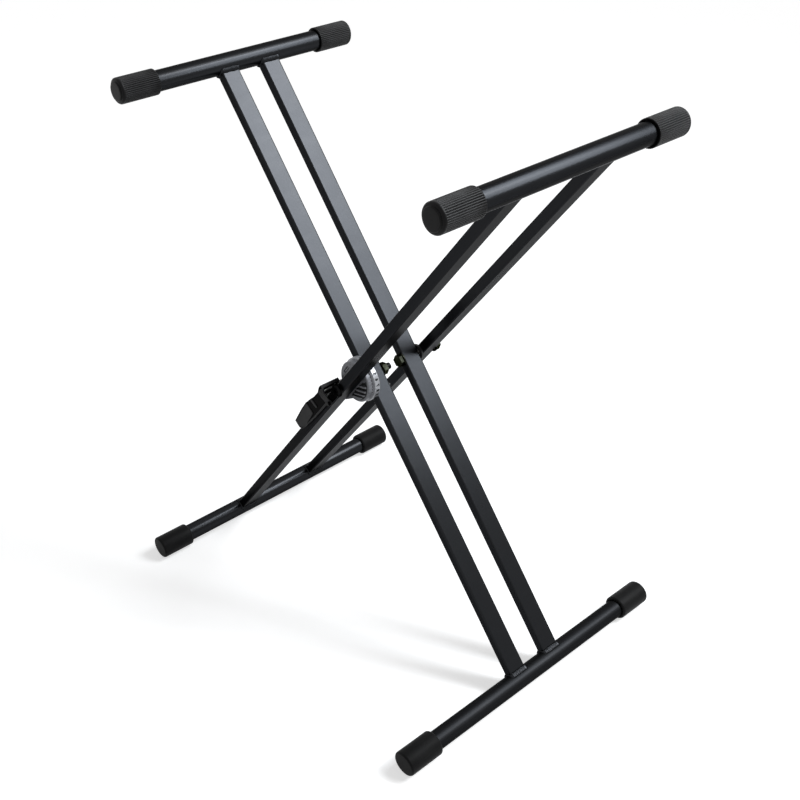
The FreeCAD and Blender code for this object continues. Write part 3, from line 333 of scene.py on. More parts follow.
# %% Every solid of the frame gets its finish
slot_of_node = {part["node"]: part["material_slot"] for part in frame["record"]["subparts"]}
OWN_FINISHES = [
    (DARK_PASSIVATE, ("near_pivot_nut", "far_pivot_nut", "near_nut_washer", "far_nut_washer",
                      "far_head_washer", "far_pivot_bolt")),
    (OILED_BLACK, ("lever_pin", "near_pivot_bolt", "near_head_washer", "lever_strap")),
    (BLACK_STEEL, ("disc_rivet_upper", "disc_rivet_lower")),
    (HOUSING_SILVER, ("clutch_housing",)),
    (FOOT_BAR_COAT, ("inner_foot_bar",)),
]


def finish_of(name):
    """The finish of a node: its own where it has one, or else its slot's."""
    for finish, names in OWN_FINISHES:
        if name in names:
            return finish
    return FINISH_OF_SLOT[slot_of_node[name]]


def finish_node(name):
    """Puts a node's own finish on its mesh."""
    mesh = frame["nodes"][name].data
    mesh.materials.clear()
    mesh.materials.append(finish_of(name))


for node_name in frame["nodes"]:
    finish_node(node_name)
print("finished nodes:", len(frame["nodes"]))


# %% Pieces built here: one mesh, one finish, one body to ride on
def new_piece(name, mesh, body, finish):
    """Links a mesh as a piece that moves with a body."""
    for polygon in mesh.polygons:
        polygon.use_smooth = True
    mesh.materials.clear()
    mesh.materials.append(finish)
    piece = bpy.data.objects.new(name, mesh)
    bpy.context.scene.collection.objects.link(piece)
    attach(piece, body)
    return piece


def mesh_from_rings(name, rings, closed=True, cap_ends=False):
    """A skin over rings of points; closed joins the last ring to the first."""
    sheet = bmesh.new()
    rows = [[sheet.verts.new(point) for point in ring] for ring in rings]
    pairs = list(zip(rows, rows[1:])) + ([(rows[-1], rows[0])] if closed else [])
    for row, after in pairs:
        for i in range(len(row)):
            j = (i + 1) % len(row)
            sheet.faces.new((row[i], row[j], after[j], after[i]))
    if cap_ends:
        sheet.faces.new(rows[0])
        sheet.faces.new(rows[-1])
    bmesh.ops.recalc_face_normals(sheet, faces=sheet.faces)
    mesh = bpy.data.meshes.new(name)
    sheet.to_mesh(mesh)
    sheet.free()
    return mesh


# %% [markdown]
# ## Rubber grips
# Each end of a top bar has a moulded grip that keeps the keyboard from sliding: some forty
# rounded ribs run along it, its outer shoulder is rolled over, and a smooth disc stands proud on
# its end. The ribs could be a bump map, but they show in the outline, so the skin is turned from
# one profile whose radius swells and dips once per rib. The faces deep in each groove take a
# near-black rubber with almost no gloss: painted shade in the grooves.

# %% Grip and foot sizes
GRIP_RADIUS = 17.8 * MM
GRIP_LENGTH = 62 * MM
RIB_COUNT = 40
RIB_DEPTH = 1.2 * MM
RIB_ROUNDNESS = 1.9
GROOVE_SHADE_FROM = 0.4
POINTS_PER_RIB = 12
FOOT_RADIUS = 19.2 * MM
FOOT_LENGTH = 59 * MM


def quarter_round(centre_r, centre_y, radius, start, end, steps=6):
    """Points (r, y) on a rounded edge between two angles, in degrees."""
    points = []
    for step in range(steps + 1):
        angle = math.radians(start + (end - start) * step / steps)
        points.append((centre_r + radius * math.cos(angle), centre_y + radius * math.sin(angle)))
    return points


def rib_dip(turn):
    """0 on the crown of a rib, 1 at the bottom of a groove, for a place around the grip."""
    across = abs((turn * RIB_COUNT) % 1 - 0.5) * 2
    return 1 - math.sqrt(max(0.0, 1 - across ** RIB_ROUNDNESS))


def turned_rubber(name, profile, segments, end, centre_y, side, height):
    """Turns (r, y, rib share) stations about a bar's axis."""
    placing = LEG_FRAME[side] @ Matrix.Translation((0, 0, height))
    rings = []
    for radius, along, ribbed in profile:
        ring = []
        for i in range(segments):
            turn = i / segments
            dipped = radius - ribbed * RIB_DEPTH * rib_dip(turn)
            angle = turn * math.tau
            ring.append(placing @ Vector((dipped * math.cos(angle), centre_y + end * along,
                                          dipped * math.sin(angle))))
        rings.append(ring)
    mesh = mesh_from_rings(name, rings, closed=False, cap_ends=True)
    # Faces deep in the rib grooves take the second finish, a near-black rubber that is painted shade in the
    # grooves.
    ribbed_rows = [row for row, station in enumerate(profile) if station[2] == 1.0]
    for index, polygon in enumerate(mesh.polygons):
        row, i = divmod(index, segments)
        in_groove = rib_dip((i + 0.5) / segments) > GROOVE_SHADE_FROM
        polygon.material_index = 1 if in_groove and row in ribbed_rows else 0
    return mesh


# %% Grip profile, from the bar outwards
def grip_profile():
    """Stations (r, y from the grip's inner end, rib share)."""
    disc_radius = 13.6 * MM
    disc_height = 1.9 * MM
    shoulder = 3.4 * MM
    flat_y = GRIP_LENGTH - disc_height
    stations = [(BAR_RADIUS, 1.2 * MM, 0), (BAR_RADIUS + 0.4 * MM, 0.4 * MM, 0)]
    stations += [(r, y, 0.2) for r, y in quarter_round(
        GRIP_RADIUS - 0.8 * MM, 0.8 * MM, 0.8 * MM, -90, 0, 4)]
    stations += [(GRIP_RADIUS, 1.4 * MM, 1.0), (GRIP_RADIUS, 20 * MM, 1.0), (GRIP_RADIUS, 40 * MM, 1.0),
                 (GRIP_RADIUS, flat_y - shoulder - 2.0 * MM, 1.0),
                 (GRIP_RADIUS, flat_y - shoulder - 0.6 * MM, 0.35)]
    stations += [(r, y, 0) for r, y in quarter_round(
        GRIP_RADIUS - shoulder, flat_y - shoulder, shoulder, 0, 86, 8)]
    stations += [(disc_radius + 0.5 * MM, flat_y - 0.15 * MM, 0), (disc_radius, flat_y, 0)]
    stations += [(r, y, 0) for r, y in quarter_round(
        disc_radius - 1.2 * MM, GRIP_LENGTH - 1.2 * MM, 1.2 * MM, 0, 90, 6)]
    stations += [(disc_radius * 0.6, GRIP_LENGTH, 0), (disc_radius * 0.2, GRIP_LENGTH, 0)]
    return stations


# %% Foot profile
def foot_profile():
    """Stations (r, y from the foot's inner end, rib share) of the plain rubber foot."""
    edge = 3.2 * MM
    stations = [(BAR_RADIUS, 1.5 * MM, 0), (BAR_RADIUS + 0.5 * MM, 0.3 * MM, 0)]
    stations += [(r, y, 0) for r, y in quarter_round(FOOT_RADIUS - edge, edge, edge, -90, 0, 8)]
    stations += [(FOOT_RADIUS, 20 * MM, 0), (FOOT_RADIUS, 40 * MM, 0)]
    stations += [(r, y, 0) for r, y in quarter_round(
        FOOT_RADIUS - edge, FOOT_LENGTH - edge, edge, 0, 90, 8)]
    stations += [(FOOT_RADIUS * 0.5, FOOT_LENGTH, 0), (FOOT_RADIUS * 0.15, FOOT_LENGTH, 0)]
    return stations


# %% Fit a grip and a foot at each bar end
for body, side in SIDE_OF_BODY.items():
    prefix = body.split("_")[0]
    for suffix, end in (("near", -1), ("far", 1)):
        grip_node = f"{prefix}_top_grip_{suffix}"
        inner_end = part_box(grip_node)[0 if end > 0 else 1].y
        grip_mesh = turned_rubber(f"{grip_node}_skin", grip_profile(), RIB_COUNT * POINTS_PER_RIB,
                                  end, inner_end, side, bar_height(f"{prefix}_top_bar", side))
        grip = new_piece(f"{grip_node}_skin", grip_mesh, body, GRIP_RUBBER)
        # The second finish is painted shade for the groove bottoms.
        grip_mesh.materials.append(GRIP_GROOVE_SHADE)
        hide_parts(grip_node)
        foot_node = f"{prefix}_foot_cap_{suffix}"
        inner_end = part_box(foot_node)[0 if end > 0 else 1].y
        foot_mesh = turned_rubber(f"{foot_node}_skin", foot_profile(), 128, end, inner_end,
                                  side, bar_height(f"{prefix}_foot_bar", side))
        foot = new_piece(f"{foot_node}_skin", foot_mesh, body, FOOT_RUBBER)
        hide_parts(foot_node)
print("grips and feet fitted, grip radius", round(GRIP_RADIUS / MM, 1), "mm")

# %% [markdown]
# ## Weld beads
# Each leg is cut to the bar's round and welded on all the way round. A bead is a row of small
# overlapping puddles in the corner between the two pieces. It could be a plain swept cord, but
# that looks like putty, so the section here swells and shrinks once per puddle, and its two toes
# stay on the leg's skin and on the bar's skin wherever the corner goes. It is broad and flat on the
# leg's wide faces, where the strength is needed, and thin round the narrow ones.

# %% Path of a bead around the leg's section
BEAD_STEP = 0.5 * MM
PUDDLE_PITCH = 2.3 * MM
CORNER_STEPS = 8


def section_path():
    """Points (n, y, normal n, normal y, travelled) around the rounded rectangle of a leg."""
    half_n = LEG_DEPTH / 2 - LEG_CORNER
    half_y = LEG_WIDTH / 2 - LEG_CORNER
    points = []
    travelled = 0.0
    corners = [(half_n, half_y, 0), (-half_n, half_y, 90), (-half_n, -half_y, 180),
               (half_n, -half_y, 270)]
    for index, (centre_n, centre_y, start) in enumerate(corners):
        for step in range(CORNER_STEPS):
            angle = math.radians(start + 90 * step / CORNER_STEPS)
            normal = (math.cos(angle), math.sin(angle))
            points.append((centre_n + LEG_CORNER * normal[0], centre_y + LEG_CORNER * normal[1],
                           *normal, travelled))
            travelled += LEG_CORNER * math.radians(90) / CORNER_STEPS
        following = corners[(index + 1) % 4]
        angle = math.radians(start + 90)
        normal = (math.cos(angle), math.sin(angle))
        from_point = Vector((centre_n, centre_y))
        to_point = Vector(following[:2])
        steps = max(2, round((to_point - from_point).length / BEAD_STEP))
        for step in range(steps):
            middle = from_point.lerp(to_point, step / steps)
            points.append((middle.x + LEG_CORNER * normal[0], middle.y + LEG_CORNER * normal[1],
                           *normal, travelled))
            travelled += (to_point - from_point).length / steps
    return points


# %% Sweep one bead; the sizes are in millimetres
BEAD_LEAST = 1.4
BEAD_ON_FOOT_FACE = 3.2
BEAD_ON_TOP_FACE = 2.7
BEAD_ROOT = 0.6


def weld_bead(name, body, leg_y, bar_u, toward_leg):
    """A bead where a leg meets a bar; toward_leg is -1 under a top bar and +1 above a foot bar."""
    side = SIDE_OF_BODY[body]
    face_size = BEAD_ON_FOOT_FACE if toward_leg > 0 else BEAD_ON_TOP_FACE
    rings = []
    for n, y, normal_n, normal_y, travelled in section_path():
        puddle = 0.5 - 0.5 * math.cos(travelled / PUDDLE_PITCH * math.tau)
        wander = noise.noise(Vector((travelled * 160, leg_y * 40, bar_u * 9)))
        wide = abs(normal_n)
        size = (BEAD_LEAST + face_size * wide + 0.3 * puddle + 0.5 * wander) * MM
        on_bar = math.asin(n / BAR_RADIUS)
        corner = Vector((n, y, toward_leg * BAR_RADIUS * math.cos(on_bar)))
        toe_angle = on_bar + normal_n * size / BAR_RADIUS
        bar_toe = Vector((BAR_RADIUS * math.sin(toe_angle), y + normal_y * size,
                          toward_leg * BAR_RADIUS * math.cos(toe_angle)))
        leg_toe = corner + Vector((0, 0, toward_leg * size))
        outward = ((bar_toe + leg_toe) / 2 - corner).normalized()
        bulge = (0.3 + 0.3 * wide + 0.25 * puddle) * MM
        ring = []
        for step in range(7):
            share = step / 6
            chord = leg_toe.lerp(bar_toe, share)
            ring.append(chord + outward * bulge * math.sin(share * math.pi))
        ring.append(corner - outward * BEAD_ROOT * MM)
        rings.append([LEG_FRAME[side] @ (Vector((0, leg_y, bar_u)) + point) for point in ring])
    mesh = mesh_from_rings(name, rings)
    return new_piece(name, mesh, body, POWDER_COAT)


for body, side in SIDE_OF_BODY.items():
    prefix = body.split("_")[0]
    for suffix in ("near", "far"):
        low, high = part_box(f"{prefix}_leg_{suffix}")
        leg_y = (low.y + high.y) / 2
        for place, toward_leg in (("top", -1), ("foot", 1)):
            weld_bead(f"{prefix}_{suffix}_{place}_weld", body, leg_y,
                      bar_height(f"{prefix}_{place}_bar", side), toward_leg)
print("weld beads: 8, puddle pitch", round(PUDDLE_PITCH / MM, 1), "mm")

# %% [markdown]
# ## Eased edges on the clutch and the nuts
# A casting or a moulding has no knife edges: the mould and the tumbling barrel round them, and that
# thin round is what catches light and shows the form. The solids could be shown as they are, but
# their edges are exact corners. So each of these is copied, its flat faces are joined up again, and
# every sharp edge gets a small round.

# %% Copy a solid with rounded edges
EASING = {
    "clutch_housing": ("outer_frame", 0.6),
    "locking_disc": ("inner_frame", 0.35),
    "lever_strap": ("outer_frame", 0.35),
    "near_pivot_nut": ("inner_frame", 0.7),
    "far_pivot_nut": ("inner_frame", 0.7),
    "far_pivot_bolt": ("inner_frame", 0.6),
}


def eased_copy(node, body, radius):
    """Stands a copy of a solid in its place, with its sharp edges rounded."""
    sheet = bmesh.new()
    sheet.from_mesh(frame["nodes"][node].data)
    bmesh.ops.remove_doubles(sheet, verts=sheet.verts, dist=0.002 * MM)
    bmesh.ops.dissolve_limit(sheet, angle_limit=math.radians(1), verts=sheet.verts, edges=sheet.edges)
    sharp = [edge for edge in sheet.edges
             if edge.is_manifold and edge.calc_face_angle() > math.radians(35)]
    bmesh.ops.bevel(sheet, geom=sharp, offset=radius * MM, segments=3, profile=0.5, affect="EDGES",
                    clamp_overlap=True)
    mesh = bpy.data.meshes.new(f"{node}_eased")
    sheet.to_mesh(mesh)
    sheet.free()
    piece = new_piece(f"{node}_eased", mesh, body, finish_of(node))
    shading = piece.modifiers.new("even_shading", "WEIGHTED_NORMAL")
    shading.keep_sharp = True
    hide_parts(node)
    return len(sharp)


for node, (body, radius) in EASING.items():
    print(node, "eased edges:", eased_copy(node, body, radius))

# %% [markdown]
# ## Ribs and dark grooves on the clutch face
# Beside the leg the housing's face has a sunk field with slanted ribs, for grip and to keep the
# casting thin. They could be a bump map, but the grooves are as deep as they are wide. Each rib is a
# swept loaf that follows a line in the leg's own terms, cut off where the field ends, and the
# groove bottoms are near-black strips: painted shade in the deep grooves.

# %% Ribbed field
FACE_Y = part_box("clutch_housing")[0].y
FIELD_Y = FACE_Y + 1.2 * MM
FIELD_RADIUS = 27.0 * MM
RIB_SLANT = math.radians(50)
LEG_EDGE = LEG_DEPTH / 2 + 0.6 * MM
PROUD = 1.1 * MM


def field_span(offset):
    """Both ends, along the slant, of a line at this offset inside the round field."""
    reach = math.sqrt(FIELD_RADIUS ** 2 - offset ** 2)
    start = (LEG_EDGE + offset * math.sin(RIB_SLANT)) / math.cos(RIB_SLANT)
    return max(start, -reach), reach


def field_point(along, offset):
    """Leg coordinates (n, u) of a place along and beside the slanted lines."""
    return (along * math.cos(RIB_SLANT) - offset * math.sin(RIB_SLANT),
            along * math.sin(RIB_SLANT) + offset * math.cos(RIB_SLANT))


def loaf(name, offset, half_width, base_y, height, finish, steps=14):
    """A rounded bar along one slanted line, from base_y towards the near side."""
    start, end = field_span(offset)
    rings = []
    for step in range(steps + 1):
        share = step / steps
        along = start + (end - start) * share
        tip = min(1.0, 6 * min(share, 1 - share) + 0.25)
        ring = []
        for i in range(9):
            angle = math.pi * i / 8
            n, u = field_point(along, offset + half_width * math.cos(angle))
            lift = height * tip * min(1.0, 1.35 * math.sin(angle))
            ring.append(LEG_FRAME[OUTER] @ Vector((n, base_y - lift, u)))
        rings.append(ring)
    mesh = mesh_from_rings(name, rings, closed=False, cap_ends=True)
    return new_piece(name, mesh, "outer_frame", finish)


RIBS = [(-11.6, 2.1), (-18.3, 1.5), (-23.6, 1.2), (-3.6, 2.3)]
GROOVE_SHADE_OFFSETS = (-7.7, -15.2, -21.1, 1.0)
GROOVE_SHADE_HALF_WIDTH = 2.0 * MM
for index, (offset, half_width) in enumerate(RIBS):
    loaf(f"housing_rib_{index + 1}", offset * MM, half_width * MM, FIELD_Y + 0.3 * MM,
         PROUD + 1.5 * MM, HOUSING_SILVER)
# The groove strips are near-black plates on the field's floor: painted shade in the grooves between the ribs.
for index, offset in enumerate(GROOVE_SHADE_OFFSETS):
    loaf(f"housing_groove_shade_{index + 1}", offset * MM, GROOVE_SHADE_HALF_WIDTH, FIELD_Y + 0.05 * MM,
         0.25 * MM, PAINTED_RECESS_SHADE)
print("ribs:", len(RIBS), "grooves:", len(GROOVE_SHADE_OFFSETS))


# %% Painted shade along the field's border, by the rim
BORDER_TURN = 62
BORDER_STEPS = 25
BORDER_STEP_TURN = 3.6


def field_border():
    """A thin dark strip round the outer edge of the ribbed field: painted shade along its wall."""
    rings = []
    for step in range(BORDER_STEPS):
        angle = math.radians(BORDER_TURN - BORDER_STEP_TURN * step)
        ring = []
        for i in range(9):
            around = math.pi * i / 8
            out = FIELD_RADIUS + 0.9 * MM * math.cos(around)
            lift = 0.3 * MM * math.sin(around)
            place = Vector((out * math.cos(angle), FACE_Y - lift, out * math.sin(angle)))
            ring.append(LEG_FRAME[OUTER] @ place)
        rings.append(ring)
    mesh = mesh_from_rings("housing_field_border_shade", rings, closed=False, cap_ends=True)
    return new_piece("housing_field_border_shade", mesh, "outer_frame", PAINTED_RECESS_SHADE)


field_border()


# %% Slanted lip where the housing meets the disc; the section is (outwards, along) in millimetres
LIP_SECTION = [(-0.6, -2.6), (0.1, -2.4), (1.7, -0.6), (1.8, -0.2), (1.5, 0.0), (-0.6, 0.0)]
LIP_START = -80
LIP_TURN = 190
LIP_STATIONS = 96


def housing_lip():
    """A ring with a slanted skin that closes the step between the housing's rim and the disc's."""
    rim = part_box("clutch_housing")[1].x
    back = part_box("clutch_housing")[1].y
    rows = [(rim + out * MM, back + along * MM) for out, along in LIP_SECTION]
    rings = []
    for i in range(LIP_STATIONS):
        turn = math.radians(LIP_START + LIP_TURN * i / (LIP_STATIONS - 1))
        rings.append([Vector((radius * math.cos(turn), y, radius * math.sin(turn) + PIVOT.z))
                      for radius, y in rows])
    mesh = mesh_from_rings("housing_lip", rings, closed=False, cap_ends=True)
    return new_piece("housing_lip", mesh, "outer_frame", HOUSING_SILVER)


housing_lip()

# %% Oval boss on the other side of the leg
BOSS_N = -22.0 * MM
BOSS_HALF_WIDTH = 1.3 * MM
BOSS_HALF_LENGTH = 6.6 * MM


def oval_boss():
    """A small long dome that stands in the housing's oval recess."""
    rings = []
    for level in range(6):
        shrink = math.cos(math.radians(15 * level))
        lift = math.sin(math.radians(15 * level)) * 2.4 * MM
        ring = []
        for i in range(32):
            angle = math.tau * i / 32
            n = BOSS_N + BOSS_HALF_WIDTH * shrink * math.cos(angle)
            straight = math.copysign(BOSS_HALF_LENGTH - BOSS_HALF_WIDTH, math.sin(angle))
            u = straight + BOSS_HALF_WIDTH * shrink * math.sin(angle)
            ring.append(LEG_FRAME[OUTER] @ Vector((n, FACE_Y + 2.3 * MM - lift, u)))
        rings.append(ring)
    mesh = mesh_from_rings("housing_oval_boss", rings, closed=False, cap_ends=True)
    return new_piece("housing_oval_boss", mesh, "outer_frame", CAST_SILVER)


oval_boss()

# %% [markdown]
# ## Numbers on the clutch
# The disc has a plain number at every notch, and the housing has small marks to read them by, so
# the two ends can be set to the same height. They could be drawn in a texture, but a text curve
# turned into a mesh and bent round the rim stays sharp, and sits a tenth of a millimetre proud like
# thick paint.

# %% Bend flat shapes round a rim
def wrap_on_rim(mesh, radius, turn, centre_y):
    """Bends a flat mesh: its x runs round the rim, its y along the pivot, its z outwards."""
    for vertex in mesh.vertices:
        x, y, z = vertex.co
        angle = turn + x / radius
        out = radius + z
        vertex.co = (out * math.cos(angle), centre_y + y, out * math.sin(angle) + PIVOT.z)


def number_on_disc(text, turn):
    """One plain number on the disc's rim."""
    curve = bpy.data.curves.new(f"disc_number_{text}", "FONT")
    curve.body = text
    curve.size = 7.2 * MM
    curve.offset = 0.36 * MM
    curve.extrude = 0.06 * MM
    curve.align_x = "CENTER"
    curve.align_y = "CENTER"
    letters = bpy.data.objects.new(f"disc_number_{text}", curve)
    mesh = bpy.data.meshes.new_from_object(letters)
    bpy.data.objects.remove(letters)
    wrap_on_rim(mesh, DISC_RADIUS + 0.03 * MM, turn, DISC_MIDDLE)
    return new_piece(f"disc_number_{text}", mesh, "inner_frame", NUMBER_PAINT)


def mark_on_housing(index, turn):
    """One short slanted mark on the housing's rim."""
    sheet = bmesh.new()
    corners = [(-1.5, -1.2), (0.4, -1.5), (1.6, 1.0), (-0.4, 1.6)]
    face = sheet.faces.new([sheet.verts.new((x * MM, y * MM, 0.12 * MM)) for x, y in corners])
    bmesh.ops.extrude_face_region(sheet, geom=[face])
    for vertex in list(sheet.verts)[4:]:
        vertex.co.z = -0.05 * MM
    bmesh.ops.recalc_face_normals(sheet, faces=sheet.faces)
    mesh = bpy.data.meshes.new(f"housing_mark_{index}")
    sheet.to_mesh(mesh)
    sheet.free()
    wrap_on_rim(mesh, HOUSING_RADIUS, turn, HOUSING_MARK_Y)
    return new_piece(f"housing_mark_{index}", mesh, "outer_frame", NUMBER_PAINT)


# %% Place numbers and marks
low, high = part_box("locking_disc")
DISC_RADIUS = (high.x - low.x) / 2
DISC_MIDDLE = high.y - 4.9 * MM
HOUSING_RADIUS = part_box("clutch_housing")[1].x
HOUSING_MARK_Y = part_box("clutch_housing")[1].y - 1.9 * MM
NUMBER_COUNT, NUMBER_START, NUMBER_PITCH = 12, 95.5, 15
MARK_COUNT, MARK_START, MARK_PITCH = 9, 58.5, 8.8
for index in range(NUMBER_COUNT):
    number_on_disc(str(index + 1), math.radians(NUMBER_START - NUMBER_PITCH * index))
for index in range(MARK_COUNT):
    mark_on_housing(index + 1, math.radians(MARK_START - MARK_PITCH * index))
print("numbers:", NUMBER_COUNT, "marks:", MARK_COUNT, "disc radius", round(DISC_RADIUS / MM, 1), "mm")

# %% [markdown]
# ## The release lever
# The lever is one hollow moulding: a wide paddle for the palm, a sunk neck with a ridge across it, a
# square yoke round the bright link pin, and a slim rail that runs from the pin down to the paddle's
# foot. A single outline pushed through would lose the hollow, so the walls are built one by one as
# eased plates in the leg's own terms and joined into one mesh. The smooth neck keeps a finish of
# its own: glossy as moulded, and made near-black with its reflection held down as painted shade.

# %% One wall of the lever
LEVER_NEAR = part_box("release_lever")[0].y
LEVER_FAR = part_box("release_lever")[1].y
PIN_N = 4.6
PIN_U = -34.0
LINK_N = -17.4
LINK_U = -39.4


def add_wall(sheet, outline, near_y, far_y, round_by=0.5):
    """Adds a plate square to the pivot, with eased edges; outline is (n, u) in millimetres."""
    near = [sheet.verts.new(LEG_FRAME[OUTER] @ Vector((n * MM, near_y, u * MM))) for n, u in outline]
    far = [sheet.verts.new(LEG_FRAME[OUTER] @ Vector((n * MM, far_y, u * MM))) for n, u in outline]
    faces = [sheet.faces.new(near), sheet.faces.new(list(reversed(far)))]
    for i in range(len(outline)):
        j = (i + 1) % len(outline)
        faces.append(sheet.faces.new((near[i], far[i], far[j], near[j])))
    bmesh.ops.recalc_face_normals(sheet, faces=faces)
    edges = list({edge for face in faces for edge in face.edges})
    bmesh.ops.bevel(sheet, geom=edges, offset=round_by * MM, segments=3, profile=0.5, affect="EDGES",
                    clamp_overlap=True)


def walls_to_piece(name, walls, finish):
    """One piece on the lever from several (outline, near y, far y, rounding) walls."""
    sheet = bmesh.new()
    for outline, near_y, far_y, round_by in walls:
        add_wall(sheet, outline, near_y, far_y, round_by)
    mesh = bpy.data.meshes.new(name)
    sheet.to_mesh(mesh)
    sheet.free()
    piece = new_piece(name, mesh, "release_lever", finish)
    piece.modifiers.new("even_shading", "WEIGHTED_NORMAL").keep_sharp = True
    return piece


# %% Outlines along the leg
CHEEK = [(-26, -91), (-25, -113), (-20.8, -149), (-7.5, -149), (-2.3, -142), (-1.6, -126), (-5.6, -91)]
FAR_CHEEK = [(-26, -91), (-25, -113), (-20.8, -149), (-7.5, -149), (0, -146), (0, -91)]
PALM_WALL = [(-20.8, -149), (-17.8, -149), (-22, -113.2), (-23, -91), (-26, -91), (-25, -113.2)]
NECK_CORE = [(-26, -91), (-14, -91), (-13.5, -47), (-21.5, -47), (-21.5, -61)]
YOKE_BACK = [(-21.5, -47), (-13, -47), (-13, -45), (-19.5, -45), (-20.5, -35), (-19.5, -31), (-25, -31),
             (-25, -37)]
YOKE_SIDE = [(-25, -31), (-25, -37), (-21.5, -47), (-13, -47), (-12, -34), (-17.4, -31)]
RAIL = [(1.2, -36.8), (8.0, -36.8), (6.2, -40.5), (2.0, -47), (1.5, -90), (-0.4, -128), (-2.0, -142),
        (-7.5, -149), (-9.5, -146), (-4.4, -141), (-2.5, -128), (-1.1, -90), (-0.9, -47), (-1.5, -41)]
BRIDGE = [(-13, -47), (-0.2, -43.5), (1.2, -38), (1.2, -31.5), (-12, -34)]
RIDGE = [(-23.4, -72.0), (-6.8, -70.5), (-6.8, -75.5), (-24.0, -78.0)]
NECK_PANEL = [(-20.9, -46), (-9, -43.5), (-0.6, -46.5), (-0.4, -92), (-25.0, -92), (-24.0, -80),
              (-21.6, -66)]
NECK_SIDE = [(-21.5, -47), (-19.8, -47), (-20.4, -66), (-22.8, -80), (-24.0, -92), (-25.8, -92),
             (-24.5, -80), (-22.1, -66)]
# A thin dark strip in the gap beside the rail: painted shadow, not a part of the moulding.
RAIL_GAP_SHADE = [(-6.5, -90), (-0.6, -90), (-1.4, -127), (-2.6, -127)]
ARM = 2.2 * MM
WALL = 3.0 * MM
LEG_NEAR_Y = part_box("outer_leg_near")[0].y
LEG_FAR_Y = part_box("outer_leg_near")[1].y
LEG_MIDDLE_Y = (LEG_NEAR_Y + LEG_FAR_Y) / 2
ROOM_BESIDE_LEG = 0.5 * MM
CHEEK_BACK = LEG_NEAR_Y - ROOM_BESIDE_LEG
FAR_CHEEK_NEAR = LEG_FAR_Y + ROOM_BESIDE_LEG
NECK_HALF_WIDTH = 11.5 * MM

# %% The moulding
moulding = walls_to_piece("release_lever_moulding", [
    (CHEEK, LEVER_NEAR, CHEEK_BACK, 0.9),
    (FAR_CHEEK, FAR_CHEEK_NEAR, LEVER_FAR, 0.7),
    (PALM_WALL, LEVER_NEAR, LEVER_FAR, 0.9),
    (NECK_CORE, LEG_MIDDLE_Y - NECK_HALF_WIDTH, LEG_MIDDLE_Y + NECK_HALF_WIDTH, 0.6),
    (NECK_SIDE, LEVER_NEAR + 1.2 * MM, LEVER_NEAR + 8.5 * MM, 0.3),
    (YOKE_BACK, LEVER_NEAR, FAR_CHEEK_NEAR, 0.5),
    (YOKE_SIDE, FAR_CHEEK_NEAR - WALL, FAR_CHEEK_NEAR, 0.5),
    (YOKE_SIDE, LEVER_NEAR, LEVER_NEAR + WALL, 0.7),
    (BRIDGE, LEVER_NEAR, LEVER_NEAR + ARM, 0.6),
    (RAIL, LEVER_NEAR, LEVER_NEAR + ARM, 0.5),
    (RIDGE, LEVER_NEAR - 0.1 * MM, LEVER_NEAR + 1.6 * MM, 0.7),
], LEVER_PLASTIC)
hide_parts("release_lever")
print("lever moulding walls: 11, faces:", len(moulding.data.polygons))

# %% The eye round the lever pin
EYE_ROWS = [(2.06, 0.0), (2.06, 2.2), (4.1, 2.2), (4.3, 2.0), (4.3, 0.3), (4.0, 0.0)]


def lever_eye():
    """A round eye in the rail's upper end, open for the pin."""
    rings = []
    for radius, depth in EYE_ROWS:
        rings.append([LEG_FRAME[OUTER] @ Vector(((PIN_N + radius * math.cos(math.tau * i / 40)) * MM,
                                                 LEVER_NEAR + depth * MM,
                                                 (PIN_U + radius * math.sin(math.tau * i / 40)) * MM))
                      for i in range(40)])
    mesh = mesh_from_rings("release_lever_eye", rings)
    return new_piece("release_lever_eye", mesh, "release_lever", LEVER_PLASTIC)


lever_eye()

# %% The smooth neck, painted shade in it and in the rail's gap, and the cap over the link pin's end
LINK_CAP = [(LINK_N + 2.7 * math.cos(math.tau * i / 24), LINK_U + 2.7 * math.sin(math.tau * i / 24))
            for i in range(24)]
walls_to_piece("release_lever_neck", [
    (NECK_PANEL, LEVER_NEAR + 1.1 * MM, LEVER_NEAR + 2.1 * MM, 0.25),
    # The rail's gap strip is painted shadow.
    (RAIL_GAP_SHADE, LEVER_NEAR + 1.5 * MM, LEVER_NEAR + 2.1 * MM, 0.1),
], NECK_PLASTIC_AND_SHADE)
walls_to_piece("release_lever_link_cap", [
    (LINK_CAP, LEVER_NEAR - 0.3 * MM, LEVER_NEAR + 0.6 * MM, 0.25),
], LEVER_PLASTIC)
print("lever face at y", round(LEVER_NEAR / MM, 1), "mm, far cheek at", round(LEVER_FAR / MM, 1), "mm")

# %% [markdown]
# ## Floor, light and background
# The stand was photographed on white. One long softbox leaned over it from behind, and its
# reflection is the pale gradient that runs down the inner legs: bright at the top, gone below the
# crossing. A square panel would end in a hard line across the legs, so the strip here is laid
# along the path that the reflected line of sight takes. A broad soft sun gives the even fill and
# the shadow. Floor and sky are white to the eye and to reflections, and darker as lamps, so the
# white never comes from more light on the stand, and the floor keeps the shadow.

# %% Which rays look at the backdrop
def seen_ray(tree):
    """1 for rays from the camera, off gloss or through glass; 0 for rays that only carry light."""
    rays = add_node(tree, "ShaderNodeLightPath")
    looking = rays.outputs["Is Camera Ray"]
    for kind in ("Is Glossy Ray", "Is Transmission Ray"):
        either = add_node(tree, "ShaderNodeMath", [(0, looking), (1, rays.outputs[kind])],
                          operation="MAXIMUM")
        looking = either.outputs[0]
    return looking


